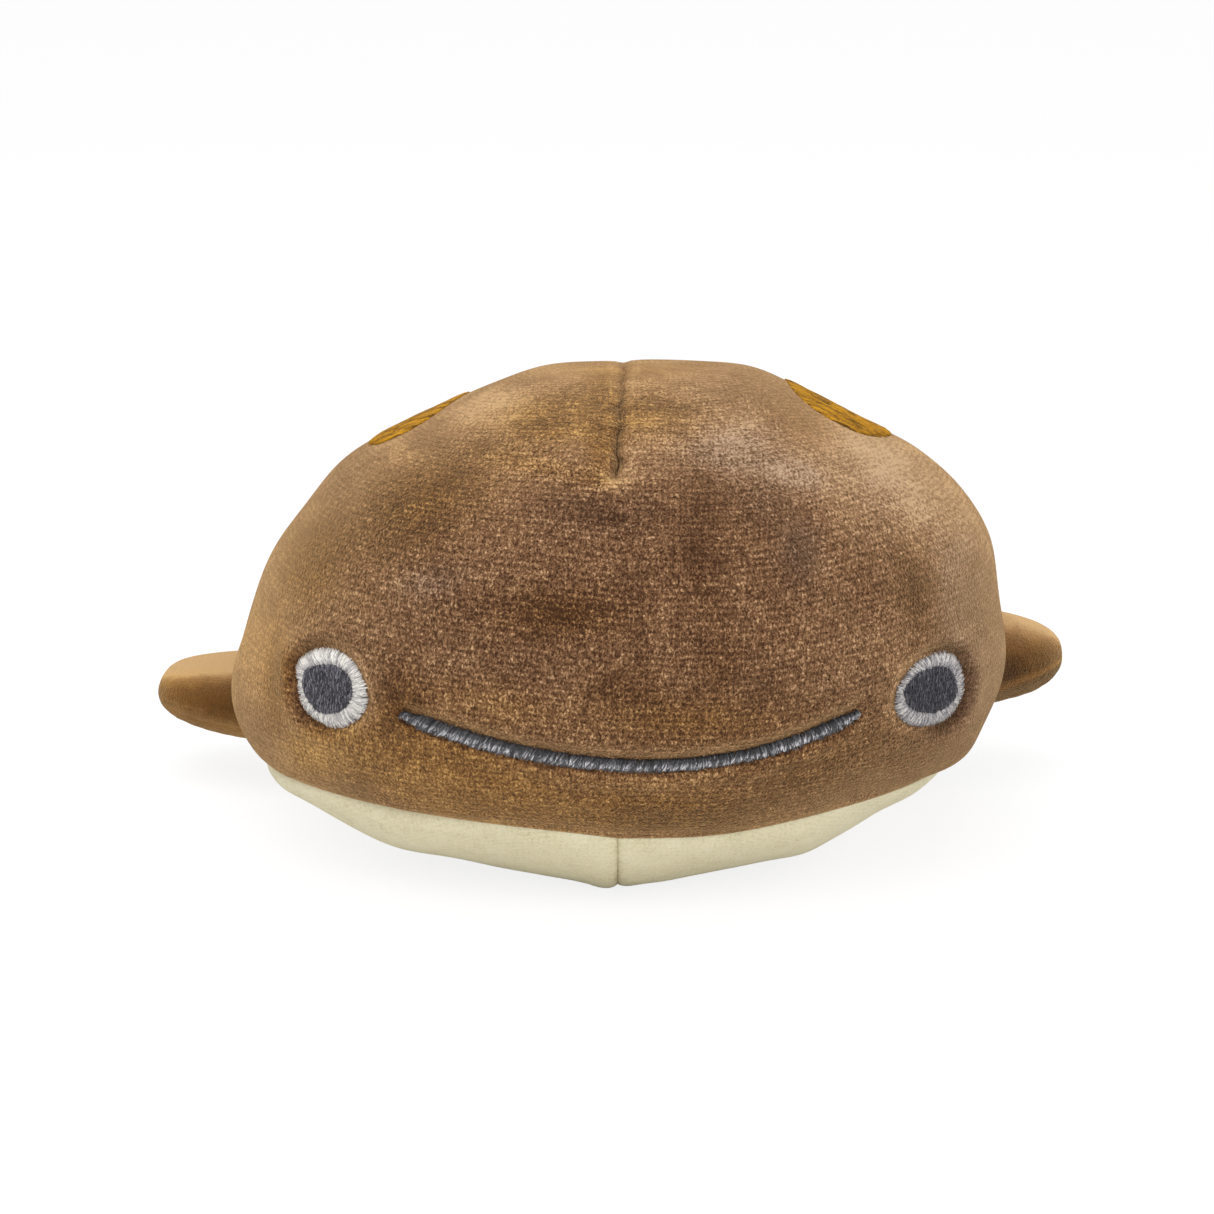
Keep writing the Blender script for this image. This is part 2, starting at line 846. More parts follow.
@dataclass(frozen=True)
class Threads:
    """Stitches as thin rounded strands: their paths in mm, and how wide they are from end to end."""

    paths: np.ndarray
    outs: np.ndarray
    half_width: np.ndarray
    half_height: float
    strand: np.ndarray
    shade: np.ndarray
    sides: int = 6

    def cloth(self) -> Cloth:
        """Builds the strands.

        Returns:
            One closed strand a stitch.
        """
        count, steps = self.paths.shape[:2]
        forward = unit(np.gradient(self.paths, axis=1))
        out = unit(self.outs - (self.outs * forward).sum(-1, keepdims=True) * forward)
        beside = np.cross(forward, out)
        turn = np.arange(self.sides) / self.sides * FULL_TURN
        ring = (
            self.paths[:, :, None]
            + beside[:, :, None] * (self.half_width[:, None] * np.cos(turn))[..., None]
            + out[:, :, None] * (self.half_height * np.sin(turn))[:, None]
        )
        index = np.arange(count * steps * self.sides).reshape(count, steps, self.sides)
        after = np.roll(index, -1, axis=2)
        quads = np.stack([index[:, :-1], after[:, :-1], after[:, 1:], index[:, 1:]], axis=-1).reshape(-1, 4)
        faces = [tuple(q) for q in quads.tolist()]
        faces += [tuple(e) for e in index[:, 0, ::-1].tolist()]
        faces += [tuple(e) for e in index[:, -1].tolist()]
        moves = np.diff(self.paths, axis=1, prepend=self.paths[:, :1])
        run = np.cumsum(np.linalg.norm(moves, axis=-1), axis=1)
        around = np.broadcast_to(turn / 6.0, (count, steps, self.sides))
        along = np.broadcast_to(run[..., None], around.shape)
        own = np.broadcast_to(self.strand[:, None, None] * 40.0, around.shape)
        carried = {
            "strand": np.broadcast_to(self.strand[:, None, None], around.shape).reshape(-1),
            "shade": np.broadcast_to(self.shade[..., None], around.shape).reshape(-1),
            "run": np.stack([along, around, own], axis=-1).reshape(-1, 3),
        }
        return Cloth(ring.reshape(-1, 3), faces, carried)


def satin_rise(steps: int) -> np.ndarray:
    """How a satin stitch rises between its two ends, from 0 to 1 and back."""
    return np.sin(np.linspace(0, math.pi, steps)) ** 0.6


@dataclass(frozen=True)
class RowRule:
    """How stitches follow each other in a row, with lengths in the row's own unit.

    The first starts up to so much before the edge, each has a random length, the last takes a short rest
    with it, and each is shifted aside a little and overlaps the one before.
    """

    early: tuple[float, float]
    length: tuple[float, float]
    short_rest: float
    late: tuple[float, float]
    shift: float
    overlap: float
    left_bare: float

    def stitches(
        self, rng: np.random.Generator, low: float, high: float
    ) -> list[tuple[float, float, float]]:
        """Lays one row.

        Args:
            rng: the source of chance.
            low: where the row's edge is.
            high: where its other edge is.

        Returns:
            The start, the end and the shift of each stitch.
        """
        made = []
        at = low - rng.uniform(*self.early)
        while at < high - self.left_bare:
            stop = at + rng.uniform(*self.length)
            if high - stop < self.short_rest:
                stop = high + rng.uniform(*self.late)
            made.append((at, stop, rng.uniform(-self.shift, self.shift)))
            at = stop - self.overlap
        return made


@dataclass(frozen=True)
class Eye:
    """An embroidered eye: a pale satin ring round a slate pupil, placed by the photograph's pixels."""

    name: str
    across: float
    down: float
    ring_outline: Outline
    pupil_outline: Outline
    outer_hand: int
    seed: int
    ring_cool: float = 0.0
    pupil_shade: float = 0.0
    strand_half_width: float = 0.085
    strand_half_height: float = 0.085
    ring_spacing: float = 0.11
    ring_layers: int = 3
    pupil_spacing: float = 0.85
    pupil_lean: float = 0.05
    pupil_rows: RowRule = RowRule((-0.5, 2.4), (5.0, 12.0), 3.0, (-0.8, 2.8), 1.0, 0.6, 1.0)

    def around(self, points: np.ndarray) -> tuple[np.ndarray, np.ndarray]:
        """Where skin points lie round the eye.

        Args:
            points: the points, in mm.

        Returns:
            Their distance from the middle, 1 at the ring's edge, and how far they lie to the outer side.
        """
        gap = SIGHT.pixels(points) - (self.across, self.down)
        a, b = gap[:, 0], -gap[:, 1]
        far = np.hypot(a, b)
        size = far / self.ring_outline.reach(np.arctan2(b, a))
        size = np.where((points[:, 1] < FACE_Y) & (points[:, 2] < 60), size, 9.0)
        return size, self.outer_hand * a / np.maximum(far, 0.1)

    def dent(self, points: np.ndarray) -> np.ndarray:
        """How the stitches pull the skin in.

        Args:
            points: the skin's points, in mm.

        Returns:
            The height to add at each, in mm.
        """
        size, outer = self.around(points)
        outside = np.clip(0.5 + 0.5 * outer, 0, 1)
        floor = -0.6 * (1 - smooth_step((size - 0.8) / 0.4))
        crease = -1.2 * bell((size - 1.1) / 0.12) * outside**1.5
        swell = 0.6 * bell((size - 1.42) / 0.22) * outside
        return floor + crease + swell

    def brushing(self, points: np.ndarray) -> np.ndarray:
        """How the pile round the eye is brushed: darker on its outer side and paler on its inner one.

        Args:
            points: the skin's points, in mm.

        Returns:
            How much lighter each looks.
        """
        size, outer = self.around(points)
        dark = -0.34 * bell((size - 1.13) / 0.13) * smooth_step(outer + 0.35)
        return dark + 0.2 * bell((size - 1.15) / 0.12) * smooth_step(-outer + 0.3)

    def laid(
        self, seat: Seat, form: BodyForm, a: np.ndarray, b: np.ndarray
    ) -> tuple[np.ndarray, np.ndarray]:
        """Seats places round the eye on the skin.

        Args:
            seat: the skin.
            form: the body's sizes.
            a: places across, in pixels from the eye's middle.
            b: places up.

        Returns:
            The points, and the outward direction there.
        """
        points = SIGHT.seated(seat, np.stack([self.across + a, self.down - b], axis=-1))
        return points, face_out(points, form)

    def ring(self, seat: Seat, form: BodyForm) -> Cloth:
        """Lays the ring's radial satin stitches.

        Args:
            seat: the skin.
            form: the body's sizes.

        Returns:
            The stitches.
        """
        rng = np.random.default_rng(self.seed)
        fine = np.linspace(-math.pi, math.pi, 361)
        reach = self.ring_outline.reach(fine)
        edge, _ = self.laid(seat, form, reach * np.cos(fine), reach * np.sin(fine))
        arc = np.concatenate([[0], np.cumsum(np.linalg.norm(np.diff(edge, axis=0), axis=1))])
        count = int(arc[-1] / self.ring_spacing)
        layers = []
        for layer in range(self.ring_layers):
            share = (np.arange(count) + 0.4 * layer + rng.uniform(-0.5, 0.5, count)) / count
            layers.append(np.interp((share % 1.0) * arc[-1], arc, fine))
        angle = np.concatenate(layers)
        total = len(angle)
        steps = 6
        outer = self.ring_outline.reach(angle) * (1 + rng.uniform(-0.09, 0.035, total))
        inner = self.pupil_outline.reach(angle) * rng.uniform(0.84, 1.04, total)
        slant = 0.04 + rng.normal(0, 0.07, total)
        along = np.linspace(0, 1, steps)
        radius = inner[:, None] + (outer - inner)[:, None] * along
        theta = angle[:, None] + slant[:, None] * (along - 0.5)
        base, out = self.laid(seat, form, radius * np.cos(theta), radius * np.sin(theta))
        lift = satin_rise(steps) * 0.6 + 0.02 + rng.uniform(0, 0.2, (total, 1))
        upper = smooth_step(np.sin(theta) * 0.9 + 0.25)
        inward = 1 - smooth_step((along[None] - 0.12) / 0.55)
        low_cool = 0.1 * smooth_step(-np.sin(theta) - 0.2)
        shade = 0.14 - 0.42 * inward * (0.3 + 0.7 * upper) - low_cool - self.ring_cool
        return Threads(
            base + out * lift[..., None],
            out,
            self.strand_half_width * np.array([0.75, 1, 1.05, 1.05, 1, 0.6]),
            self.strand_half_height,
            rng.beta(0.7, 0.7, total),
            shade,
        ).cloth()

    def pupil(self, seat: Seat, form: BodyForm) -> Cloth:
        """Fills the pupil with upright stitches whose ends stand out of its edge unevenly.

        Args:
            seat: the skin.
            form: the body's sizes.

        Returns:
            The stitches.
        """
        rng = np.random.default_rng(self.seed + 50)
        spots = np.array(self.pupil_outline.places)
        low, high = spots[:, 0].min(), spots[:, 0].max()
        starts, ends = [], []
        ups = np.linspace(-40, 40, 321)
        for layer in range(3):
            for across in np.arange(low + 0.5 + 0.4 * layer, high - 0.3, self.pupil_spacing):
                inside = np.hypot(across, ups) < self.pupil_outline.reach(np.arctan2(ups, across))
                if not inside.any():
                    continue
                rows = self.pupil_rows.stitches(rng, ups[inside].min(), ups[inside].max())
                for at, stop, jog in rows:
                    starts.append((across + jog - self.pupil_lean * at, at))
                    ends.append((across - jog - self.pupil_lean * stop + 0.9, stop))
        start, end = np.array(starts), np.array(ends)
        total, steps = len(start), 5
        flat = start[:, None] + (end - start)[:, None] * np.linspace(0, 1, steps)[None, :, None]
        base, out = self.laid(seat, form, flat[..., 0], flat[..., 1])
        lift = 0.5 + satin_rise(steps) * 0.28 + rng.uniform(0, 0.24, (total, 1))
        return Threads(
            base + out * lift[..., None],
            out,
            self.strand_half_width * np.array([0.7, 1, 1.05, 1, 0.7]),
            self.strand_half_height,
            rng.beta(0.7, 0.7, total),
            np.full(steps, self.pupil_shade),
        ).cloth()

    def build(self, seat: Seat, form: BodyForm) -> None:
        """Sews the eye.

        Args:
            seat: the skin.
            form: the body's sizes.
        """
        ring = self.ring(seat, form).to_object(f"sewn_eye_ring_{self.name}", Slot.RING)
        place_piece(ring, [f"eye_ring_{self.name}"])
        pupil = self.pupil(seat, form).to_object(f"sewn_pupil_{self.name}", Slot.PUPIL)
        place_piece(pupil, [f"pupil_{self.name}"])


LEFT_EYE = Eye(
    "left",
    across=333.0,
    down=687.3,
    ring_outline=Outline(
        (
            (34.6, -8.8), (33.2, -0.5), (29.5, 7.8), (25.6, 18.0), (19.3, 26.9), (11.6, 33.3), (2.7, 37.8),
            (-6.3, 39.4), (-16.5, 37.8), (-25.4, 33.3), (-31.8, 28.2), (-34.6, 23.1), (-34.3, 11.6),
            (-33.7, 5.2), (-32.4, -6.3), (-30.5, -13.9), (-26.7, -22.2), (-21.6, -27.9), (-13.9, -33.0),
            (-6.3, -37.5), (1.4, -39.4), (9.1, -39.7), (18.0, -36.2), (25.6, -30.5), (33.3, -20.3),
        )
    ),
    pupil_outline=Outline(
        (
            (-26.7, 4.0), (-23.5, 18.0), (-13.9, 21.2), (-3.7, 21.8), (7.8, 19.9), (15.4, 14.2), (20.5, 5.2),
            (21.2, -2.4), (18.0, -12.6), (9.1, -21.6), (-1.1, -24.1), (-11.4, -22.8), (-19.0, -15.2),
            (-24.1, -7.5),
        )
    ),
    outer_hand=-1,
    seed=11,
)
RIGHT_EYE = Eye(
    "right",
    across=928.1,
    down=688.6,
    ring_outline=Outline(
        (
            (33.7, 2.8), (33.3, 13.5), (30.6, 24.3), (25.2, 33.1), (16.8, 36.5), (8.4, 35.0), (-0.8, 31.9),
            (-9.9, 26.9), (-18.4, 19.7), (-25.2, 9.7), (-31.4, -1.8), (-33.3, -11.7), (-33.3, -20.9),
            (-29.8, -27.8), (-22.2, -33.9), (-14.5, -36.6), (-4.6, -36.2), (5.4, -35.4), (15.3, -30.8),
            (22.2, -25.5), (27.5, -17.8), (32.1, -7.9),
        )
    ),
    pupil_outline=Outline(
        (
            (-28.7, -1.8), (-22.2, -16.3), (-14.5, -20.9), (-4.6, -21.7), (4.6, -20.9), (13.0, -16.3),
            (19.9, -10.9), (24.9, -0.2), (23.0, 10.5), (19.9, 17.4), (10.7, 22.0), (-0.8, 19.7),
            (-9.9, 16.6), (-18.4, 11.2), (-25.2, 3.6),
        )
    ),
    outer_hand=1,
    seed=12,
    ring_cool=0.24,
    pupil_shade=-0.15,
)


@dataclass(frozen=True)
class Mouth:
    """The smile: one line of satin stitches, placed by the photograph's pixels."""

    trace: tuple[tuple[float, float], ...] = (
        (402, 713), (430, 725), (460, 735.3), (511, 748.2), (562, 758.7), (629, 765.2), (705, 761.7),
        (746, 754.8), (780, 746.3), (820, 730.5), (858, 712.5),
    )
    half_width: float = 5.5
    spacing: float = 0.13
    bundle: float = 0.17
    strand_half_width: float = 0.1
    strand_half_height: float = 0.1
    pixel: float = 0.162

    def down(self, across: np.ndarray) -> np.ndarray:
        """Where the line runs in the photograph.

        Args:
            across: places across, in pixels.

        Returns:
            The place down at each.
        """
        spots = np.array(self.trace)
        middle = spots[:, 0].mean()
        return np.polyval(np.polyfit((spots[:, 0] - middle) / 100, spots[:, 1], 4), (across - middle) / 100)

    def above(self, points: np.ndarray) -> tuple[np.ndarray, np.ndarray]:
        """Where skin points lie from the line.

        Args:
            points: the points, in mm.

        Returns:
            How far above the line they lie, in mm, and how far they are within its ends, from 0 to 1.
        """
        shown = SIGHT.pixels(points)
        start, end = self.trace[0][0], self.trace[-1][0]
        held = np.clip(shown[:, 0], start, end)
        inside = smooth_step((shown[:, 0] - start + 6) / 10) * smooth_step((end + 6 - shown[:, 0]) / 10)
        inside = inside * (points[:, 1] < FACE_Y)
        return (self.down(held) - shown[:, 1]) * self.pixel, inside

    def dent(self, points: np.ndarray) -> np.ndarray:
        """How the stitches pull the skin in, as a height in mm."""
        gap, inside = self.above(points)
        return (-0.75 * bell(gap / 1.35) + 0.3 * bell((np.abs(gap) - 2.9) / 1.3)) * inside

    def brushing(self, points: np.ndarray) -> np.ndarray:
        """Darker pile pressed down right under the line, lighter pile fanned out below that.

        Args:
            points: the skin's points, in mm.

        Returns:
            How much lighter each looks.
        """
        gap, inside = self.above(points)
        tone = -0.34 * bell((gap + 1.3) / 0.4) + 0.07 * bell((gap + 2.5) / 0.8)
        return (tone + 0.06 * bell((gap - 1.9) / 0.7)) * inside

    def build(self, seat: Seat, form: BodyForm) -> None:
        """Sews the line.

        Args:
            seat: the skin.
            form: the body's sizes.
        """
        rng = np.random.default_rng(21)
        fine = np.linspace(self.trace[0][0], self.trace[-1][0], 300)
        laid = SIGHT.seated(seat, np.stack([fine, self.down(fine)], axis=-1))
        arc = np.concatenate([[0], np.cumsum(np.linalg.norm(np.diff(laid, axis=0), axis=1))])
        count = int(arc[-1] / self.spacing) * 2
        share = np.clip((np.arange(count) + rng.uniform(-0.7, 0.7, count)) / count, 0, 1)
        across = np.interp(share * arc[-1], arc, fine)
        slope = self.down(across + 1) - self.down(across - 1)
        narrow = 0.45 + 0.55 * smooth_step(np.minimum(share, 1 - share) * arc[-1] / 5.0)
        steps = 7
        top = self.half_width * narrow + rng.uniform(-0.9, 1.1, count)
        strand = rng.beta(0.6, 0.6, count)
        # The dark strands reach a little lower than the light ones, so that the lower edge is ragged
        low = -self.half_width * narrow - rng.uniform(-0.9, 1.0, count) - 1.3 * (strand < 0.35)
        lean = rng.normal(0.3, 0.3, count)
        t = top[:, None] + (low - top)[:, None] * np.linspace(0, 1, steps)
        px = across[:, None] + t * (lean + slope / 2)[:, None]
        base = SIGHT.seated(seat, np.stack([px, self.down(across)[:, None] - t], axis=-1))
        out = face_out(base, form)
        lift = satin_rise(steps) * 0.6 + 0.04 + rng.uniform(0, 0.18, (count, 1))
        # Neighbouring strands catch the light together, in bundles
        spots = np.arange(0.0, arc[-1] + self.bundle, self.bundle)
        bundle = np.interp(share * arc[-1], spots, rng.uniform(-1.0, 1.0, len(spots)))
        shade = np.array([-0.4, -0.42, -0.3, -0.04, 0.12, 0.14, -0.12])
        cloth = Threads(
            base + out * lift[..., None],
            out,
            self.strand_half_width * np.array([0.7, 1, 1, 1, 1, 1, 0.7]),
            self.strand_half_height,
            strand,
            shade + bundle[:, None] * np.linspace(0.08, 0.36, steps),
        ).cloth()
        place_piece(cloth.to_object("sewn_mouth", Slot.MOUTH), ["mouth_stitching"])


@dataclass(frozen=True)
class Spot:
    """A gold embroidered spot on the back, filled with rows of long stitches."""

    name: str
    x: float
    behind: float
    half_length: float
    half_width: float
    turn: float
    number: int
    spacing: float = 0.3
    strand_half_width: float = 0.17
    strand_half_height: float = 0.14
    unevenness: float = 0.07
    rows: RowRule = RowRule((0.0, 0.5), (3.0, 5.5), 1.2, (0.0, 0.5), 0.09, 0.15, 0.3)

    def patch(self, seat: Seat, form: BodyForm) -> Patch:
        """The spot's patch on the back.

        Args:
            seat: the skin.
            form: the body's sizes.

        Returns:
            The patch, with its up along the spot's length.
        """
        down = np.array([0.0, 0.0, -1.0])
        step = 2.0
        spots = [(0.0, 0.0), (step, 0.0), (0.0, step)]
        found = [
            seat.under(np.array([self.x + dx, form.head_y + self.behind + dy, form.head_height]), down)
            for dx, dy in spots
        ]
        out = unit(np.cross(found[1] - found[0], found[2] - found[0]))
        angle = math.radians(self.turn)
        across = unit(np.cross([math.cos(angle), math.sin(angle), 0.0], out))
        return Patch(found[0], across, np.cross(out, across), out)

    def outline_reach(self, angle: np.ndarray) -> np.ndarray:
        """How far the spot's edge is from its middle.

        Args:
            angle: the angles, in radians.

        Returns:
            The distance at each, in mm.
        """
        phase = 1.7 * self.number
        wobble = self.unevenness * (np.sin(2 * angle + phase) + 0.6 * np.sin(3 * angle - phase))
        plain = 1 / np.hypot(np.cos(angle) / self.half_width, np.sin(angle) / self.half_length)
        return plain * (1 + wobble)

    def build(self, seat: Seat, form: BodyForm) -> None:
        """Sews the spot with stitches that run across the toy.

        Args:
            seat: the skin.
            form: the body's sizes.
        """
        rng = np.random.default_rng(31 + self.number)
        patch = self.patch(seat, form)
        # The stitches run along the toy's X, slightly turned
        heading = math.atan2(float(patch.up[0]), float(patch.across[0])) + 0.12 * (-1) ** self.number
        ahead = np.array([math.cos(heading), math.sin(heading)])
        aside = np.array([-ahead[1], ahead[0]])
        largest = max(self.half_length, self.half_width) * 1.2
        starts, ends = [], []
        for layer in range(2):
            for offset in np.arange(-largest + 0.2 * layer, largest, self.spacing):
                runs = np.linspace(-largest, largest, 241)
                flat = offset * aside + runs[:, None] * ahead
                inside = np.hypot(*flat.T) < self.outline_reach(np.arctan2(flat[:, 1], flat[:, 0]))
                if not inside.any():
                    continue
                for at, stop, jog in self.rows.stitches(rng, runs[inside].min(), runs[inside].max()):
                    starts.append((offset + jog) * aside + at * ahead)
                    ends.append((offset - jog) * aside + stop * ahead)
        start, end = np.array(starts), np.array(ends)
        total, steps = len(start), 6
        along = np.linspace(0, 1, steps)[None, :, None]
        flat = start[:, None] + (end - start)[:, None] * along
        base = patch.dropped(seat, flat[..., 0], flat[..., 1])
        lift = -0.04 + satin_rise(steps) * 0.2 + rng.uniform(0, 0.16, (total, 1))
        base = base + patch.out * lift[..., None]
        cloth = Threads(
            base,
            np.broadcast_to(patch.out, base.shape),
            self.strand_half_width * np.array([0.65, 1, 1, 1, 1, 0.65]),
            self.strand_half_height,
            rng.beta(0.7, 0.7, total),
            np.zeros(steps),
        ).cloth()
        place_piece(cloth.to_object(f"sewn_{self.name}", Slot.GOLD), [self.name])


SPOTS = (
    Spot("spot_right_shoulder", 36.9, 4.0, 12.5, 9.6, -66, 0),
    Spot("spot_left_shoulder", -33.6, 3.2, 6.6, 9.8, -41, 1),
    Spot("spot_right_back", 17.5, 38.0, 10.0, 8.5, 40, 2),
    Spot("spot_left_back", -21.0, 51.0, 11.0, 9.0, -30, 3),
    Spot("spot_right_rump", 14.0, 78.0, 9.5, 7.5, 70, 4),
    Spot("spot_tail", -7.5, 111.0, 8.5, 5.5, 85, 5),
)


@dataclass(frozen=True)
class BackSeam:
    """The seam along the back, which runs out on the forehead as a dart."""

    sink: float = 0.9
    dart_sink: float = 2.0
    end_angle: float = 45.0
    run_angle: float = 9.0
    pucker_pitch: float = 1.9

    def line(self, latitude: np.ndarray, in_front: np.ndarray) -> np.ndarray:
        """Where the seam runs: the dart drifts left as it comes down the forehead.

        Args:
            latitude: each point's latitude in radians.
            in_front: 1 on the face, 0 behind.

        Returns:
            How far to the side the seam lies, in mm.
        """
        down = smooth_step((np.radians(90) - latitude) / np.radians(45))
        wander = 0.22 * np.sin(latitude * 31.0) + 0.14 * np.sin(latitude * 73.0 + 1.0)
        return np.where(in_front > 0.5, -0.4 - 0.9 * down + wander, -0.4)

    def height(
        self, side: np.ndarray, latitude: np.ndarray, in_front: np.ndarray, along: np.ndarray
    ) -> np.ndarray:
        """How far the seam sinks and gathers the skin.

        Args:
            side: each point's place across the toy before it leans, in mm.
            latitude: each point's latitude in radians.
            in_front: 1 on the face, 0 behind.
            along: distance along the seam, in mm.

        Returns:
            The height to add, in mm.
        """
        gap = side - self.line(latitude, in_front)
        past_end = latitude - math.radians(self.end_angle)
        run = math.radians(self.run_angle)
        start = np.where(in_front > 0.5, smooth_step(past_end / (0.45 * run) + 0.5), 1.0)
        deep = np.where(in_front > 0.5, bell(past_end / (1.3 * run)), 0.0)
        sink = self.sink + (self.dart_sink - self.sink) * deep
        wide = (0.25 + 0.25 * deep) * bell(gap / 2.2)
        narrow = 0.6 * np.exp(-np.abs(gap) / 0.5)
        hand = np.where(gap > 0, 0.0, 2.1)
        wave = np.sin(FULL_TURN * along / self.pucker_pitch + hand) + 0.5 * np.sin(
            FULL_TURN * along / (1.7 * self.pucker_pitch) + 1.3 * hand
        )
        pucker = 0.22 * wave * np.exp(-np.abs(gap) / 1.8) * (1 - np.exp(-np.abs(gap) / 0.4))
        # The end of the dart pinches up a small fold under it
        fold = 0.45 * bell(gap / 2.2) * bell((past_end + 0.6 * run) / (0.35 * run)) * in_front
        return start * (-sink * (wide + narrow) + pucker) + fold

    def brushing(self, side: np.ndarray, latitude: np.ndarray, in_front: np.ndarray) -> np.ndarray:
        """The dark line of the stitches and the paler pile that stands up beside it.

        Args:
            side: each point's place across the toy before it leans, in mm.
            latitude: each point's latitude in radians.
            in_front: 1 on the face, 0 behind.

        Returns:
            How much lighter the pile looks.
        """
        gap = np.abs(side - self.line(latitude, in_front))
        run = math.radians(self.run_angle)
        past_end = latitude - math.radians(self.end_angle)
        start = np.where(in_front > 0.5, smooth_step(past_end / (0.45 * run) + 0.5), 1.0)
        deep = np.where(in_front > 0.5, bell((past_end - 0.6 * run) / (1.2 * run)), 0.0)
        broken = 1 + 0.5 * np.sin(latitude * 120.0) * np.sin(latitude * 47.0 + 0.6)
        line = -(0.36 + 0.36 * deep) * broken * np.exp(-gap / 0.45) - 0.08 * deep * bell(gap / 1.5)
        beside = (0.12 + 0.06 * deep) * (2 - broken) * bell((gap - 1.7) / 1.1)
        under = 0.26 * bell(gap / 2.8) * bell((past_end + 0.3 * run) / (0.2 * run)) * in_front
        return start * (line + beside) + under


@dataclass(frozen=True)
class Crease:
    """A soft crease on the face between two places, given across and down in the photograph's pixels."""

    start: tuple[float, float]
    end: tuple[float, float]
    depth: float
    width: float

    def height(self, shown: np.ndarray) -> np.ndarray:
        """How far the crease sinks, with the cloth swelling on its upper side.

        Args:
            shown: places in the photograph, in pixels.

        Returns:
            The height to add at each, in mm.
        """
        a, b = np.array(self.start), np.array(self.end)
        run = b - a
        size = float(np.linalg.norm(run))
        ahead = run / size
        flat = shown - a
        along = flat @ ahead
        gap = flat @ np.array([ahead[1], -ahead[0]])
        inside = smooth_step(along / (0.3 * size)) * smooth_step((size - along) / (0.3 * size))
        shape = -bell(gap / self.width) + 0.6 * bell((gap - 2.0 * self.width) / (1.3 * self.width))
        return self.depth * inside * shape


CREASES = (
    Crease((552, 693), (592, 694), 0.16, 5.0),
    Crease((648, 690), (674, 693), 0.18, 4.5),
    Crease((732, 684), (834, 703), 0.2, 5.5),
    Crease((770, 480), (885, 650), 0.3, 14.0),
)


@dataclass(frozen=True)
class Swell:
    """A place, in the photograph's pixels, where the stuffing stands out a little, or falls in below 0."""

    across: float
    down: float
    size: float
    height: float

    def at(self, shown: np.ndarray) -> np.ndarray:
        """How far it stands out in mm at each pixel."""
        return self.height * bell(np.hypot(shown[:, 0] - self.across, shown[:, 1] - self.down) / self.size)


SWELLS = (
    Swell(352, 452, 46, 1.25),
    Swell(244, 622, 48, -1.2),
    Swell(1000, 596, 46, -1.2),
    Swell(756, 370, 42, 0.95),
    Swell(600, 361, 66, -0.6),
    Swell(280, 788, 24, 0.8),
    Swell(395, 848, 44, 0.9),
    Swell(804, 854, 30, 0.8),
    Swell(880, 812, 34, -1.1),
    Swell(965, 754, 26, 0.9),
    Swell(608, 890, 22, 0.6),
)


def swollen(points: np.ndarray, form: BodyForm) -> np.ndarray:
    """How far the uneven stuffing of the head stands out.

    Args:
        points: the skin's points, in mm.
        form: the body's sizes.

    Returns:
        The height to add at each point, in mm.
    """
    shown = SIGHT.pixels(points)
    at_head = smooth_step((form.head_y + 36 - points[:, 1]) / 18)
    return at_head * sum(swell.at(shown) for swell in SWELLS)


@dataclass(frozen=True)
class BrushMark:
    """A soft patch where the pile lies another way, placed by the photograph's pixels.

    Its tone is how much lighter it looks, its gold how much more golden, or cooler below 0, and its
    ruffle how much more the pile stands on end there, or lies flat below 0.
    """

    across: float
    down: float
    half_length: float
    half_height: float
    turn: float
    tone: float
    gold: float = 0.0
    ruffle: float = 0.0

    def weight(self, shown: np.ndarray) -> np.ndarray:
        """How strongly the mark counts.

        Args:
            shown: places in the photograph, in pixels.

        Returns:
            From 0 to 1 at each.
        """
        gap = shown - (self.across, self.down)
        angle = math.radians(self.turn)
        along = gap[:, 0] * math.cos(angle) + gap[:, 1] * math.sin(angle)
        beside = -gap[:, 0] * math.sin(angle) + gap[:, 1] * math.cos(angle)
        return bell(np.hypot(along / self.half_length, beside / self.half_height))


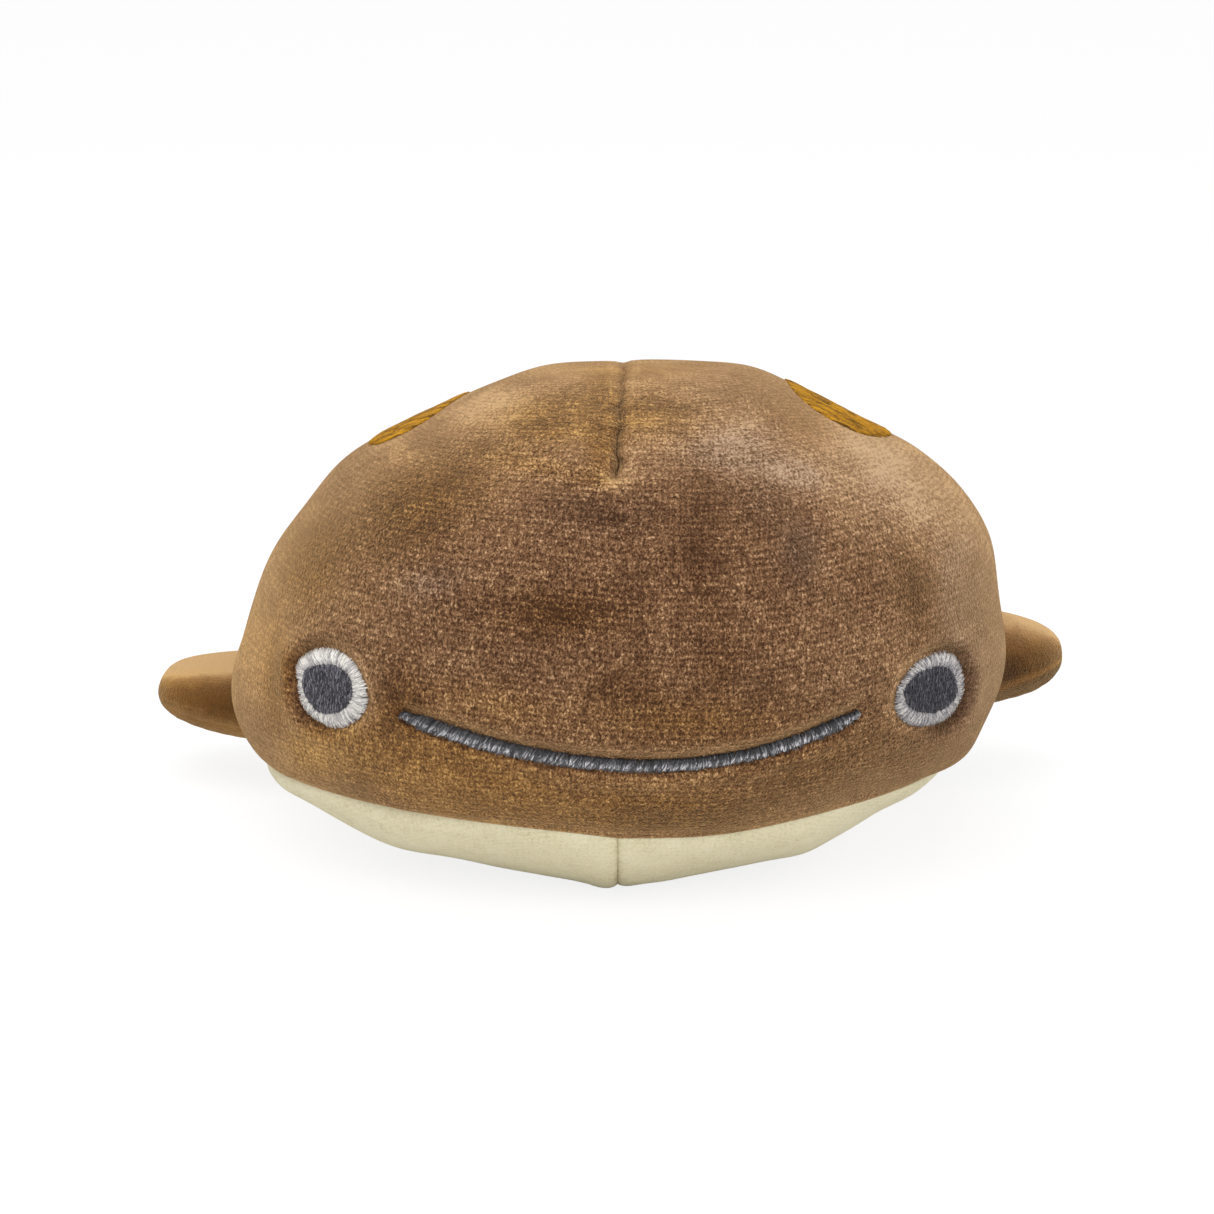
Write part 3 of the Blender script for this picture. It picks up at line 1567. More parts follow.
BRUSH_MARKS = (
    # The left shoulder and the crown, where the pile is laid flat and pale
    BrushMark(425, 398, 65, 18, -33, 0.46, 0.39, -0.5),
    BrushMark(490, 408, 42, 22, -10, 0.44, -0.02, -0.1),
    BrushMark(556, 370, 26, 10, 0, 0.15, -0.16, -0.2),
    BrushMark(722, 370, 26, 10, 0, 0.12, -0.20, -0.2),
    BrushMark(610, 366, 130, 12, 0, 0.16, 0.59, -0.6),
    # The hollow round the dart, dark and ruffled, with a paler fold below its left half
    BrushMark(560, 418, 56, 24, -8, -0.12, 1.41, 0.7),
    BrushMark(602, 425, 14, 42, 0, -0.17, 1.54, 0.0),
    BrushMark(650, 415, 56, 24, 10, -0.18, 0.95, 0.7),
    BrushMark(720, 448, 56, 28, 15, 0.26, -0.55, 0.4),
    BrushMark(802, 420, 30, 14, 20, -0.12, 0.43, 0.0),
    BrushMark(540, 466, 60, 12, 12, 0.00, 0.58, 0.5),
    BrushMark(604, 480, 26, 8, 0, 0.04, 0.34, 1.2),
    # The right shoulder, brushed pale
    BrushMark(885, 470, 75, 42, 50, 0.57, -0.27, 0.2),
    BrushMark(800, 476, 30, 16, 20, 0.25, -0.44, 0.2),
    BrushMark(762, 430, 22, 14, 0, 0.15, -0.10, 0.2),
    BrushMark(764, 500, 24, 24, 0, -0.10, -0.17, 0.2),
    BrushMark(884, 500, 20, 26, 0, -0.16, -0.02, 0.0),
    # The left temple and the brow, darker and golden
    BrushMark(400, 452, 18, 14, 0, 0.27, 0.15, 0.1),
    BrushMark(316, 512, 16, 12, 0, 0.16, 0.01, 0.0),
    BrushMark(420, 500, 80, 40, -30, -0.25, 0.99, 0.3),
    BrushMark(312, 560, 28, 44, 15, -0.20, 1.29, 0.0),
    BrushMark(430, 582, 36, 18, -10, 0.17, -0.36, 0.0),
    BrushMark(360, 602, 22, 22, 0, 0.08, 0.13, 0.0),
    BrushMark(600, 512, 60, 24, 0, -0.23, -0.13, 0.2),
    BrushMark(700, 560, 90, 26, 90, -0.29, 0.11, 0.0),
    BrushMark(560, 615, 60, 22, 0, -0.30, 0.73, 0.2),
    BrushMark(800, 550, 20, 32, 0, -0.17, -0.47, 0.0),
    BrushMark(915, 590, 40, 20, 80, -0.35, 0.39, 0.0),
    BrushMark(970, 590, 14, 44, -10, -0.05, -0.27, 0.0),
    # The nose and the lip above the mouth
    BrushMark(620, 690, 42, 26, 0, -0.24, 0.31, 0.0),
    BrushMark(690, 722, 90, 22, 0, 0.00, 0.78, 0.0),
    BrushMark(500, 705, 60, 20, 10, 0.14, 0.54, 0.0),
    BrushMark(785, 660, 34, 60, 0, 0.06, 0.04, 0.0),
    BrushMark(400, 708, 22, 34, 0, -0.30, 0.77, 0.0),
    BrushMark(440, 692, 24, 16, 0, -0.15, 0.16, 0.0),
    BrushMark(560, 682, 24, 20, 0, 0.15, -0.06, 0.0),
    BrushMark(720, 670, 20, 40, 0, -0.11, 0.24, 0.0),
    # Golden cheeks, chin and jaw
    BrushMark(250, 640, 70, 50, 90, 0.15, 0.73, -0.2),
    BrushMark(277, 680, 12, 34, 0, -0.40, 1.69, 0.0),
    BrushMark(320, 750, 36, 26, 0, 0.24, 1.10, 0.0),
    BrushMark(440, 775, 110, 40, 15, 0.13, 1.60, -0.1),
    BrushMark(620, 800, 130, 36, 0, 0.05, 0.59, 0.0),
    BrushMark(655, 818, 80, 16, 0, -0.16, 0.92, 0.0),
    BrushMark(800, 775, 110, 38, -15, -0.11, 0.50, 0.0),
    BrushMark(870, 735, 60, 22, -10, -0.03, 0.11, 0.0),
    # The right rim, where the pile looks grey green
    BrushMark(985, 650, 90, 34, 75, 0.02, -1.09, -0.2),
    BrushMark(940, 745, 50, 24, -35, -0.10, -0.35, -0.2),
)


def lumps(
    points: np.ndarray, seed: int, sizes: tuple[float, float], height: float, count: int = 9
) -> np.ndarray:
    """Uneven stuffing: a few long waves through the toy.

    Args:
        points: the skin's points, in mm.
        seed: which waves.
        sizes: shortest and longest wave, in mm.
        height: roughly how high they stand, in mm.
        count: how many waves.

    Returns:
        The height to add at each point.
    """
    rng = np.random.default_rng(seed)
    total = np.zeros(len(points))
    for _ in range(count):
        heading = unit(rng.normal(size=3))
        wave = rng.uniform(*sizes)
        total += np.sin(points @ heading * FULL_TURN / wave + rng.uniform(0, FULL_TURN))
    return height * total / math.sqrt(count)


class Relief:
    """How far a settled cover stands out, at any place near it."""

    def __init__(self, points: np.ndarray, heights: np.ndarray, reach: float) -> None:
        """Gets the settled cover ready to be searched.

        Args:
            points: its points before it settled, in mm.
            heights: how far each stands out, in mm.
            reach: how far each counts, in mm.
        """
        self.heights = heights
        self.reach = reach
        self.tree = KDTree(len(points))
        for index, point in enumerate(points.tolist()):
            self.tree.insert(point, index)
        self.tree.balance()

    def at(self, points: np.ndarray, count: int = 9) -> np.ndarray:
        """The height at each place, smoothed from the nearest points of the settled cover.

        Args:
            points: the places, in mm.
            count: how many of the nearest points count.

        Returns:
            The heights, in mm.
        """
        if not self.heights.any():
            return np.zeros(len(points))
        found = [self.tree.find_n(point, count) for point in points.tolist()]
        index = np.array([[hit[1] for hit in hits] for hits in found])
        gap = np.array([[hit[2] for hit in hits] for hits in found])
        weight = bell(gap / self.reach) + 1e-9
        return (self.heights[index] * weight).sum(1) / weight.sum(1)


@dataclass(frozen=True)
class Stuffing:
    """Fills a cover that is held at its seams and stitches, with Blender's cloth.

    The cover is simulated at ten times its size, where the solver works well for so small a thing, and
    its move is kept small, so that the toy keeps its outline.
    """

    frames: int = 20
    pressure: float = 4.0
    growth: float = 0.02
    vertex_mass: float = 0.05
    bending: float = 0.5
    quality: int = 6
    usual_height: float = 0.35
    cap: float = 1.0
    broad_reach: float = 14.0
    broad_count: int = 90
    scale: float = 0.01

    def settle(self, cover: Cloth, pinned: np.ndarray, reach: float) -> Relief:
        """Settles a closed cover.

        Args:
            cover: the plain cover, a little smaller than the finished one.
            pinned: which of its points are sewn down.
            reach: how far the result is smoothed, in mm.

        Returns:
            How far the cloth stands out.
        """
        scene = bpy.context.scene
        mesh = bpy.data.meshes.new("settling_cover")
        mesh.from_pydata((cover.points * self.scale).tolist(), [], cover.faces)
        piece = bpy.data.objects.new("settling_cover", mesh)
        scene.collection.objects.link(piece)
        piece.vertex_groups.new(name="sewn").add(np.nonzero(pinned)[0].tolist(), 1.0, "REPLACE")
        cloth = piece.modifiers.new("cloth", "CLOTH")
        cloth.settings.quality = self.quality
        cloth.settings.mass = self.vertex_mass
        cloth.settings.bending_stiffness = self.bending
        cloth.settings.vertex_group_mass = "sewn"
        cloth.settings.shrink_min = -self.growth
        cloth.settings.use_pressure = True
        cloth.settings.uniform_pressure_force = self.pressure
        cloth.settings.effector_weights.gravity = 0.0
        cloth.collision_settings.use_collision = False
        cloth.point_cache.frame_start = 1
        cloth.point_cache.frame_end = self.frames
        for frame_number in range(1, self.frames + 1):
            scene.frame_set(frame_number)
        settled = piece.evaluated_get(bpy.context.evaluated_depsgraph_get()).to_mesh()
        moved = np.empty(3 * len(cover.points), np.float32)
        settled.vertices.foreach_get("co", moved)
        bpy.data.objects.remove(piece)
        bpy.data.meshes.remove(mesh)
        scene.frame_set(1)
        out = ((moved.reshape(-1, 3) / self.scale - cover.points) * cover.normals()).sum(1)
        LOG.info("cover settled: moves %.2f to %.2f mm", out.min(), out.max())
        # The broad swell would change the toy's outline, so only the folds and dimples are kept
        folds = out - Relief(cover.points, out, self.broad_reach).at(cover.points, self.broad_count)
        heights = np.clip(folds * self.usual_height / max(folds.std(), 1e-6), -self.cap, self.cap)
        return Relief(cover.points, heights, reach)


@dataclass
class Body:
    """The body's skins: the brown back and the two cream belly halves."""

    form: BodyForm
    face_columns: int = 160
    side_columns: int = 70
    tip_columns: int = 16
    back_rows: int = 158
    belly_rows: int = 40
    seam_sink: float = 0.95
    seam_roll: float = 1.3
    hem_depths: tuple[float, float] = (3.2, 2.0)
    keel_pucker_pitch: float = 2.6
    fill: float = 0.85
    # The plain cover that the stuffing settles in
    plain_columns: tuple[int, int, int] = (24, 18, 8)
    plain_belly_rows: int = 12
    plain_back_rows: int = 31
    seam: BackSeam = field(default_factory=BackSeam)

    def __post_init__(self) -> None:
        """Lays out the columns and settles the stuffing."""
        self.columns = self.form.columns(self.face_columns, self.side_columns, self.tip_columns)
        self.relief = self.settled()

    def arcs(self, grid: np.ndarray) -> tuple[np.ndarray, np.ndarray]:
        """Distances over the cloth, along its rows from the middle of the face and up its columns.

        Args:
            grid: rows by columns by three.

        Returns:
            The two distances at each point, in mm.
        """
        middle = int(np.argmax(self.columns.facing))
        steps = np.linalg.norm(np.diff(grid, axis=1, prepend=grid[:, :1]), axis=-1)
        around = np.cumsum(steps, axis=1)
        around -= around[:, middle : middle + 1]
        up = np.cumsum(np.linalg.norm(np.diff(grid, axis=0, prepend=grid[:1]), axis=-1), axis=0)
        return around, up

    def settled(self) -> Relief:
        """Settles the whole body, held at its seams, its dart, the eyes and the mouth.

        Returns:
            How far its cloth stands out.
        """
        columns = self.form.columns(*self.plain_columns)
        seam = self.form.seam_latitude(columns)
        rows = self.plain_belly_rows
        below = -math.pi / 2 + (seam + math.pi / 2) * np.linspace(0, 1, rows + 1)[:-1, None]
        above = seam + (math.pi / 2 - seam) * np.linspace(0, 1, self.plain_back_rows)[:, None]
        latitude = np.concatenate([below, above])
        grid = self.form.points(columns, latitude, 1.2)
        sewn = np.zeros(latitude.shape)
        sewn[[0, rows, -1]] = 1.0
        middle = int(np.argmax(columns.facing))
        sewn[:, middle] += latitude[:, middle] > math.radians(self.seam.end_angle)
        cover = welded(grid, True, {"sewn": sewn})
        pinned = cover.carried["sewn"] > 0.5
        for eye in (LEFT_EYE, RIGHT_EYE):
            pinned |= eye.around(cover.points)[0] < 1.15
        gap, inside = Mouth().above(cover.points)
        pinned |= (np.abs(gap) < 2.0) & (inside > 0.5)
        return Stuffing().settle(cover, pinned, 4.0)

    def rolled(self, distance: np.ndarray) -> np.ndarray:
        """How far the cloth rolls in at a distance from a seam, in mm."""
        return self.seam_sink * bell(distance / self.seam_roll)

    def back(self) -> Cloth:
        """Works out the brown back skin.

        Returns:
            The skin, still open at its hem.
        """
        form, columns = self.form, self.columns
        start = form.seam_latitude(columns)
        share = np.linspace(0, 1, self.back_rows) ** 1.12
        latitude = start + (math.pi / 2 - start) * share[:, None]
        latitude[-1] = math.pi / 2
        plain = form.points(columns, latitude)
        around, up = self.arcs(plain)
        grid = form.points(columns, latitude, self.rolled(up))
        hem = [form.points(columns, start[None] + 0.001, depth)[0] for depth in self.hem_depths]
        grid = np.concatenate([np.array(hem), grid])
        latitude = np.concatenate([latitude[:1]] * 2 + [latitude])
        around, up = (np.concatenate([values[:1]] * 2 + [values]) for values in (around, up))
        spread = np.maximum(np.cos(latitude), 0)
        carried = {
            "knit": knit_lines(around, up),
            "latitude": latitude,
            "side": columns.side * spread,
            "front": np.broadcast_to(columns.in_front, latitude.shape),
            "from_seam": up,
        }
        cloth = welded(grid, True, carried)
        self.shape_back(cloth)
        return cloth

    def shape_back(self, cloth: Cloth) -> None:
        """Gives the plain back its seam, sockets, creases and lumps, and its brushing.

        Args:
            cloth: the plain skin, which is changed.
        """
        points, carried = cloth.points, cloth.carried
        normals = cloth.normals()
        front = carried["front"]
        behind = points[:, 1] - self.form.head_y
        along = np.where(front > 0.5, (math.pi / 2 - carried["latitude"]) * 60.0, behind)
        height = self.seam.height(carried["side"], carried["latitude"], front, along)
        height += lumps(points, 3, (26.0, 60.0), 0.28) + lumps(points, 4, (9.0, 20.0), 0.07)
        # The crown is stuffed tight, so that few folds show on it
        crown = bell(carried["side"] / 16) * smooth_step((points[:, 2] - 62) / 18)
        height += self.relief.at(points) * (1 - 0.9 * crown) + swollen(points, self.form)
        # The shoulders fall in a little where the spots are sewn on
        shoulder = bell((np.abs(points[:, 0]) - 40) / 11) * smooth_step((points[:, 2] - 58) / 12)
        height -= 0.8 * shoulder * smooth_step((behind + 30) / 20)
        in_view = smooth_step((12 - behind) / 20)
        shown = SIGHT.pixels(points)
        brushed = np.zeros(len(points))
        for feature in (LEFT_EYE, RIGHT_EYE, Mouth()):
            height += feature.dent(points)
            brushed += feature.brushing(points)
        for crease in CREASES:
            height += crease.height(shown) * in_view
        cast = 0.2 * (1 - in_view)
        ruffle = np.zeros(len(points))
        for mark in BRUSH_MARKS:
            weight = mark.weight(shown) * in_view
            brushed += mark.tone * weight
            cast += mark.gold * weight
            ruffle += mark.ruffle * weight
        carried["cast"] = np.minimum(cast, 1.0)
        brushed += self.seam.brushing(carried["side"], carried["latitude"], front)
        free = smooth_step((carried["from_seam"] - 0.2) / 1.5)
        cloth.points = points + normals * (height * free)[:, None]
        # The pile is laid flatter and looks paler on the top and at the sides
        lifted = smooth_step((points[:, 2] - 60) / 26)
        beside = smooth_step((np.abs(points[:, 0]) - 44) / 18)
        brushed += -0.115 + 0.17 * lifted + 0.19 * beside
        brushed += 0.2 * bell(carried["from_seam"] / 1.6)
        carried["brushed"] = brushed
        nap = np.maximum(1.0 - 0.3 * lifted - 0.2 * beside + np.minimum(ruffle, 0.35), 0.3)
        carried["nap"] = nap
        # Where the pile stands less on end, its long brush streaks show more
        carried["laid"] = np.maximum(1.15 - nap, 0.1)
        carried["tufts"] = 0.2 + 1.5 * np.maximum(ruffle, 0.0)
        for key in ("latitude", "side", "front", "from_seam"):
            del carried[key]

    def belly(self, hand: int) -> Cloth:
        """Works out one cream belly half.

        Args:
            hand: 1 for the right half, -1 for the left.

        Returns:
            The skin, still open at its hems.
        """
        form, columns = self.form, self.columns
        end = form.seam_latitude(columns)
        share = np.linspace(0, 1, self.belly_rows) ** 0.9
        latitude = -math.pi / 2 + (end + math.pi / 2) * share[:, None]
        plain = form.points(columns, latitude)
        around, up = self.arcs(plain)
        from_seam = up[-1:] - up
        keel = np.abs(plain[..., 0])
        grid = form.points(columns, latitude, self.rolled(from_seam))
        hem = [form.points(columns, end[None] - 0.001, depth)[0] for depth in self.hem_depths[::-1]]
        grid = np.concatenate([grid, np.array(hem)])
        up, around, keel, from_seam = (
            np.concatenate([values, values[-1:], values[-1:]]) for values in (up, around, keel, from_seam)
        )
        middle = int(np.argmax(columns.facing))
        total = grid.shape[1]
        chosen = np.arange(middle, total) if hand > 0 else np.arange(0, middle + 1)
        if hand > 0:
            chosen = np.concatenate([chosen, [0]])
        carried = {
            "knit": knit_lines(around, up)[:, chosen],
            "from_seam": from_seam[:, chosen],
            "keel": keel[:, chosen],
        }
        cloth = welded(grid[:, chosen], False, carried)
        normals = cloth.normals()
        points = cloth.points
        keel_gap = cloth.carried["keel"]
        free = smooth_step(cloth.carried["from_seam"] / 2.0)
        wave = np.sin((points[:, 1] - points[:, 2]) * FULL_TURN / self.keel_pucker_pitch + hand)
        height = -0.8 * np.exp(-keel_gap / 0.8) + 0.1 * wave * np.exp(-keel_gap / 2.5)
        height += lumps(points, 6 + hand, (20.0, 45.0), 0.2) + self.relief.at(points) + swollen(points, form)
        # The front of the belly is a little less full at both sides of its keel
        front = smooth_step((form.head_y + 5 - points[:, 1]) / 15) * bell((points[:, 2] - 3) / 8)
        height -= 1.0 * front * (1 - 0.7 * bell(points[:, 0] / 12))
        moved = points + normals * (height * free)[:, None]
        moved[:, 2] = np.maximum(moved[:, 2], np.minimum(points[:, 2], 0.05))
        cloth.points = moved
        low = 1 - smooth_step(points[:, 2] / 14.0)
        cloth.carried["brushed"] = -0.05 * low - 0.3 * np.exp(-keel_gap / 0.5)
        for key, value in (("nap", 1.0), ("laid", 0.15), ("cast", 0.1)):
            cloth.carried[key] = np.full(len(points), value)
        del cloth.carried["from_seam"], cloth.carried["keel"]
        return cloth

    def build(self) -> Seat:
        """Makes the three skins.

        Returns:
            The finished back as a seat for the embroidery.
        """
        back = self.back()
        seat = Seat(back)
        back.seal((0.0, self.form.head_y + 30.0, 26.0))
        piece = back.to_object("back_cover", Slot.BROWN)
        place_piece(piece, ["back_skin", "body_stuffing"])
        for name, hand in (("left", -1), ("right", 1)):
            half = self.belly(hand)
            half.seal((hand * 20.0, self.form.head_y + 30.0, 18.0))
            piece = half.to_object(f"belly_cover_{name}", Slot.CREAM)
            place_piece(piece, [f"belly_skin_{name}"])
        return seat


@dataclass(frozen=True)
class Paddle:
    """A flat stuffed leg, sewn from two panels along its edge."""

    name: str
    hand: int
    place: float
    reach: float
    half_breadth: float
    half_thickness: float
    level: float
    lift: float
    sweep: float
    seed: int
    bluntness: float
    seam_drop: float
    # How light the pile looks at ten heights round the leg, from its underside to its upper rim
    tones: tuple[float, ...] = (0.2, -0.06, -0.1, -0.06, 0.04, 0.18, 0.3, 0.36, 0.36, 0.36)
    tone_heights: tuple[float, ...] = (-1.0, -0.6, -0.35, -0.1, 0.1, 0.3, 0.5, 0.7, 0.85, 1.0)
    tip_rise: float = 0.0
    tip_tone: float = 0.0
    ridge: float = 0.0
    root_depth: float = 12.0
    gather_pitch: float = 2.7
    fill: float = 0.6
    long_steps: int = 110
    round_steps: int = 112

    def matrix(self, form: BodyForm) -> tuple[np.ndarray, float]:
        """Where the leg stands.

        Args:
            form: the body's sizes.

        Returns:
            The leg's matrix, in mm, and its length from the root to the tip.
        """
        half_width = float(form.rear_sizes(np.array(self.place / form.rear_length))[0])
        root_x = half_width * math.cos(math.radians(form.seam_angle_side)) - self.root_depth
        sweep, lift = math.radians(self.sweep), math.radians(self.lift)
        length = (self.reach - root_x) / math.cos(sweep)
        placed = Matrix.Translation((self.hand * root_x, form.head_y + self.place, self.level))
        if self.hand < 0:
            placed = placed @ Matrix.Rotation(math.pi, 4, "Z")
        placed = placed @ Matrix.Rotation(self.hand * sweep, 4, "Z") @ Matrix.Rotation(-lift, 4, "Y")
        return np.array(placed), length

    def rings(self, long_steps: int, round_steps: int) -> tuple[np.ndarray, np.ndarray, np.ndarray]:
        """The rings that the leg is laid out in.

        Args:
            long_steps: rings along the leg, besides the root's.
            round_steps: points round each.

        Returns:
            Each ring's share of the length, the angles round it, and how full the leg is there, as arrays
            that fit together.
        """
        share = np.sin(np.linspace(0, 1, long_steps + 1) * math.pi / 2)[:, None]
        turn = (np.arange(round_steps) / round_steps * FULL_TURN)[None]
        fullness = np.maximum(1 - share**self.bluntness, 0) ** (1 / self.bluntness)
        return share, turn, fullness

    def brushing(self, share: np.ndarray, turn: np.ndarray) -> tuple[np.ndarray, np.ndarray]:
        """How the pile is brushed round the leg.

        Args:
            share: each ring's share of the length.
            turn: the angles round the rings.

        Returns:
            How light and how golden the pile looks: pale on the upper rim, dark and golden below it.
        """
        upper = np.sin(turn)
        tone = np.interp(upper, self.tone_heights, self.tones)
        tone = tone + self.tip_tone * smooth_step((share - 0.6) / 0.4) * upper
        ridge = bell((upper + 0.95 - 0.95 * share) / 0.1) * smooth_step(share * 4 - 1.6)
        gold = 0.9 + 0.7 * bell((upper - 0.1) / 0.5) - 0.6 * smooth_step((upper - 0.5) / 0.4)
        return tone + self.ridge * ridge, gold + 0 * share

    def build(self, form: BodyForm) -> None:
        """Makes the leg.

        Args:
            form: the body's sizes.
        """
        placed, length = self.matrix(form)
        share, turn, fullness = self.rings(self.long_steps, self.round_steps)
        x = length * share + 0 * turn
        y = self.half_breadth * fullness * np.cos(turn)
        z = self.half_thickness * fullness * np.sin(turn)
        # The edge seam runs a little below the middle and pulls the cloth in to a fine line
        drop = self.seam_drop * self.half_thickness * fullness
        from_edge = np.abs(z + drop) + 0 * x
        tip = smooth_step((length - x) / 5.0)
        pull = 0.35 * np.exp(-from_edge / 0.45) + 0.2 * bell(from_edge / 1.6)
        wave = np.sin((x + np.abs(y)) * FULL_TURN / self.gather_pitch + np.sign(z + drop))
        gather = 0.1 * wave * np.exp(-from_edge / 2.0)
        inward = np.stack([0 * x, np.cos(turn) + 0 * x, np.sin(turn) + 0 * x], axis=-1)
        grid = np.stack([x, y, z], axis=-1) - inward * ((pull + gather) * tip)[..., None]
        grid[-1] = (length, 0.0, 0.0)
        grid[..., 2] += self.tip_rise * share**6
        tone, gold = self.brushing(share, turn)
        knit = knit_lines(x, turn * self.half_breadth + 0 * x)
        carried = {"knit": knit, "brushed": tone, "cast": gold}
        cloth = welded(grid[:, ::-1], True, {name: values[:, ::-1] for name, values in carried.items()})
        normals = cloth.normals()
        height = lumps(cloth.points, self.seed, (12.0, 30.0), 0.22) + self.settled(length).at(cloth.points)
        cloth.points = cloth.points + normals * height[:, None]
        cloth.points = cloth.points @ placed[:3, :3].T + placed[:3, 3]
        self.trim(cloth, form)
        cloth.points[:, 2] = np.maximum(cloth.points[:, 2], 0.3)
        cloth.carried["nap"] = np.full(len(cloth.points), 0.15)
        cloth.carried["laid"] = np.full(len(cloth.points), 0.4)
        middle = placed[:3, 3] + placed[:3, 0] * self.root_depth * 0.6
        cloth.seal(tuple(middle))
        piece = cloth.to_object(f"{self.name}_cover", Slot.BROWN)
        nodes = [f"{self.name}_{part}" for part in ("upper", "lower", "stuffing")]
        place_piece(piece, nodes)

    def settled(self, length: float) -> Relief:
        """Settles the leg, held at its edge seam and its root.

        Args:
            length: from the root to the tip, in mm.

        Returns:
            How far its cloth stands out, in the leg's own place.
        """
        share, turn, fullness = self.rings(16, 32)
        flat = [length * share + 0 * turn, self.half_breadth * fullness * np.cos(turn)]
        grid = np.stack([*flat, self.half_thickness * fullness * np.sin(turn)], axis=-1)
        sewn = np.broadcast_to(np.abs(np.sin(turn)) < 0.05, grid.shape[:2]) | (share < 0.05)
        cover = welded(grid[:, ::-1], True, {"sewn": sewn[:, ::-1].astype(float)})
        pinned = cover.carried["sewn"] > 0.5
        cover.seal((0.0, 0.0, 0.0))
        return Stuffing(usual_height=0.25, cap=0.6).settle(cover, np.append(pinned, True), 3.0)

    def trim(self, cloth: Cloth, form: BodyForm) -> None:
        """Leaves out the root's faces that lie well inside the body.

        Args:
            cloth: the leg, which is changed.
            form: the body's sizes.
        """
        side = np.abs(cloth.points[:, 0])
        share = np.clip((cloth.points[:, 1] - form.head_y) / form.rear_length, 0, 1)
        half_width, level, _ = form.rear_sizes(share)
        down = np.clip((level - cloth.points[:, 2]) / (level + form.belly_sag), -1, 1)
        inside = side < half_width * np.sqrt(1 - down**2) - 2.5
        cloth.faces = [f for f in cloth.faces if not all(inside[k] for k in f)]
        used = np.unique(np.concatenate([np.array(f) for f in cloth.faces]))
        renumber = -np.ones(len(cloth.points), int)
        renumber[used] = np.arange(len(used))
        cloth.points = cloth.points[used]
        cloth.carried = {k: v[used] for k, v in cloth.carried.items()}
        cloth.faces = [tuple(int(renumber[k]) for k in f) for f in cloth.faces]


HIND_SIZES: dict[str, float] = {
    "place": 108.0,
    "reach": 50.0,
    "half_breadth": 11.5,
    "half_thickness": 7.0,
    "level": 10.5,
    "lift": 2.0,
    "sweep": 28.0,
    "bluntness": 2.7,
    "seam_drop": 0.2,
}
LEGS = (
    Paddle(
        "front_leg_left",
        -1,
        place=40.0,
        reach=85.3,
        half_breadth=14.0,
        half_thickness=8.8,
        level=14.2,
        lift=3.0,
        sweep=8.0,
        seed=41,
        bluntness=3.1,
        seam_drop=0.4,
        tones=(0.3, 0.14, 0.1, -0.08, -0.23, -0.22, -0.12, 0.14, 0.52, 1.05),
        tip_rise=0.6,
        tip_tone=0.42,
    ),
    Paddle(
        "front_leg_right",
        1,
        place=40.0,
        reach=83.1,
        half_breadth=14.0,
        half_thickness=11.8,
        level=23.3,
        lift=-0.5,
        sweep=8.0,
        seed=42,
        bluntness=2.4,
        seam_drop=0.65,
        tones=(-0.2, -0.52, -0.48, -0.38, -0.34, -0.27, -0.16, 0.11, 0.34, 0.54),
        tip_rise=0.5,
        tip_tone=0.1,
        ridge=0.42,
    ),
    Paddle("hind_leg_left", -1, seed=43, **HIND_SIZES),
    Paddle("hind_leg_right", 1, seed=44, **HIND_SIZES),
)


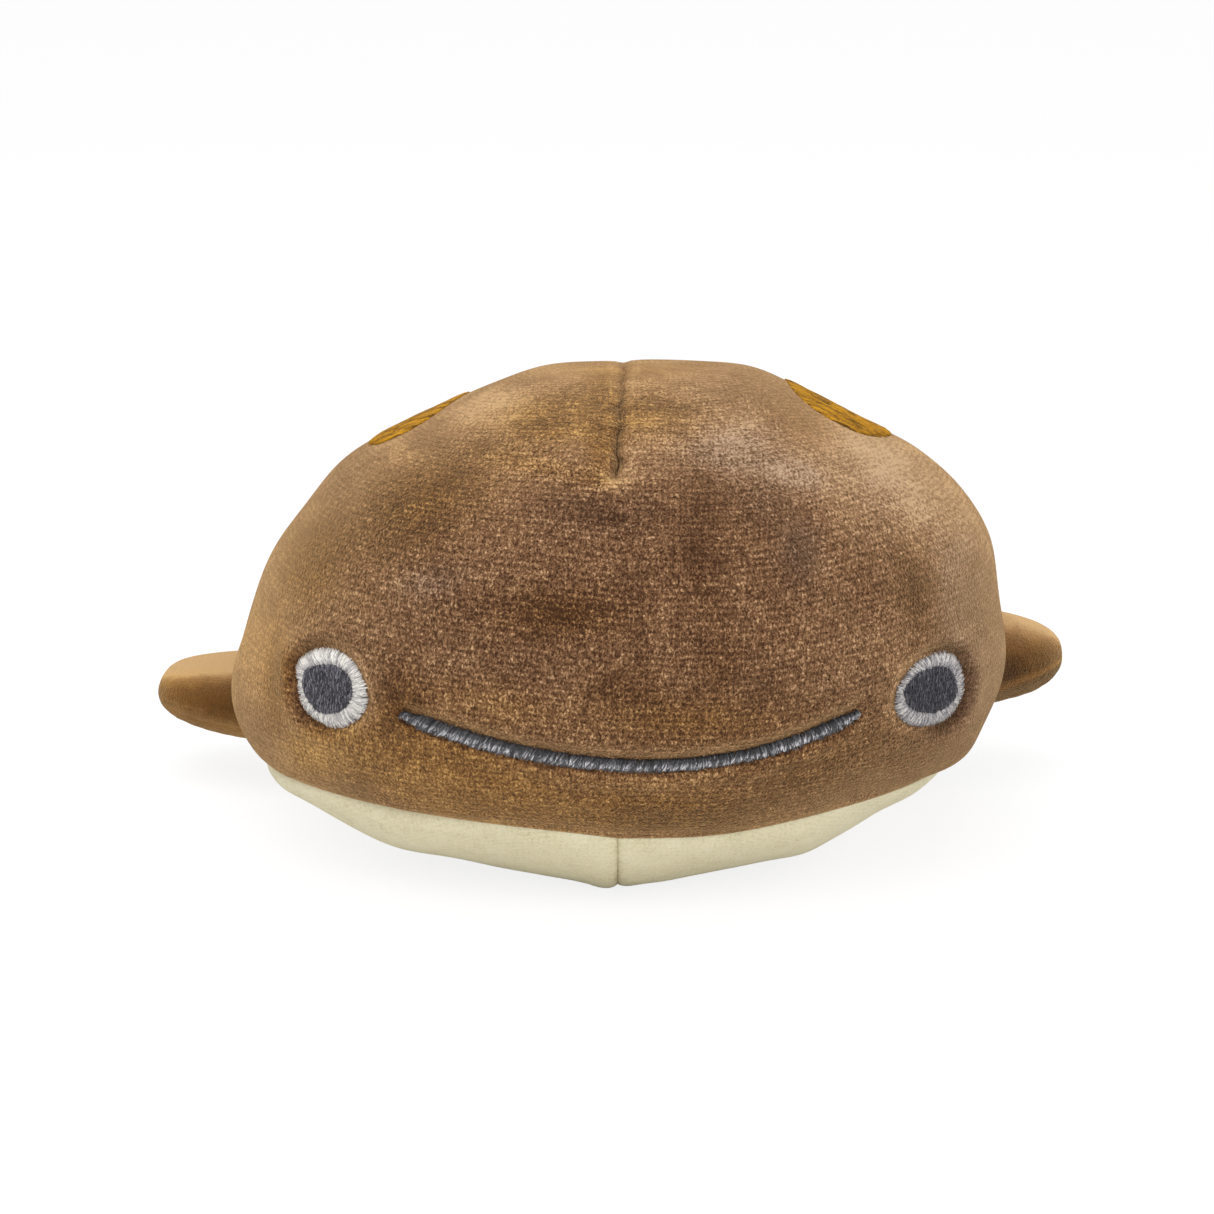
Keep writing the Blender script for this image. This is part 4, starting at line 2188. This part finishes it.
@dataclass(frozen=True)
class Studio:
    """The floor, the soft light and the camera, in metres and watts.

    The lamps' places are from the point that the camera looks at.
    """

    floor_side: float = 8.0
    sky: float = 0.68
    key_place: tuple[float, float, float] = (-0.12, -0.35, 0.85)
    key_side: float = 0.8
    key_power: float = 4.8
    fill_place: tuple[float, float, float] = (0.3, -0.8, 0.35)
    fill_side: float = 0.7
    fill_power: float = 1.5

    def add_floor(self) -> None:
        """Lays the paper floor."""
        half = self.floor_side / 2
        mesh = bpy.data.meshes.new("paper_floor")
        corners = [(-half, -half, 0), (half, -half, 0), (half, half, 0), (-half, half, 0)]
        mesh.from_pydata(corners, [], [(0, 1, 2, 3)])
        mesh.materials.append(FloorFinish().make())
        floor = bpy.data.objects.new("paper_floor", mesh)
        bpy.context.scene.collection.objects.link(floor)

    def add_lamp(self, name: str, place: tuple[float, float, float], size: float, power: float) -> None:
        """Hangs one soft square lamp that points at the toy.

        Args:
            name: the lamp's name.
            place: where it hangs, from the point that the camera looks at.
            size: its side.
            power: in watts.
        """
        data = bpy.data.lights.new(name, "AREA")
        data.size = size
        data.energy = power
        lamp = bpy.data.objects.new(name, data)
        lamp.location = Vector(SIGHT.look_at) * MM + Vector(place)
        lamp.rotation_euler = (-Vector(place)).to_track_quat("-Z", "Y").to_euler()
        bpy.context.scene.collection.objects.link(lamp)

    def add_sky(self) -> None:
        """An even white world, dimmer as light than the white that the camera sees."""
        world = bpy.data.worlds.new("studio")
        world.use_nodes = True
        tree = world.node_tree
        tree.nodes.clear()
        seen = seen_by_camera(tree)
        dim = add_node(tree, "Background", {"Color": (1, 1, 1, 1), "Strength": self.sky}).outputs[0]
        white = add_node(tree, "Background", {"Color": (1, 1, 1, 1), "Strength": 1.0}).outputs[0]
        mixed = add_node(tree, "MixShader", {0: seen, 1: dim, 2: white}).outputs[0]
        add_node(tree, "OutputWorld", {"Surface": mixed})
        bpy.context.scene.world = world

    def add_camera(self) -> None:
        """Sets the camera at the photograph's angle."""
        data = bpy.data.cameras.new("camera")
        data.lens = SIGHT.lens
        data.sensor_width = SIGHT.sensor
        data.sensor_fit = "HORIZONTAL"
        data.clip_start = 0.01
        camera = bpy.data.objects.new("camera", data)
        camera.location = Vector(SIGHT.place) * MM
        camera.rotation_euler = (-Vector(SIGHT.back)).to_track_quat("-Z", "Y").to_euler()
        bpy.context.scene.collection.objects.link(camera)
        bpy.context.scene.camera = camera

    def build(self) -> None:
        """Sets the whole studio."""
        self.add_floor()
        self.add_sky()
        self.add_lamp("key_lamp", self.key_place, self.key_side, self.key_power)
        self.add_lamp("fill_lamp", self.fill_place, self.fill_side, self.fill_power)
        self.add_camera()
        bpy.context.scene.view_settings.view_transform = "Standard"


def main() -> None:
    """Builds the dressed toy and its studio."""
    logging.basicConfig(level=logging.INFO, format="%(message)s")
    form = BodyForm()
    Studio().build()
    seat = Body(form).build()
    for eye in (LEFT_EYE, RIGHT_EYE):
        eye.build(seat, form)
    Mouth().build(seat, form)
    for spot in SPOTS:
        spot.build(seat, form)
    for leg in LEGS:
        leg.build(form)


if __name__ == "__main__":
    main()
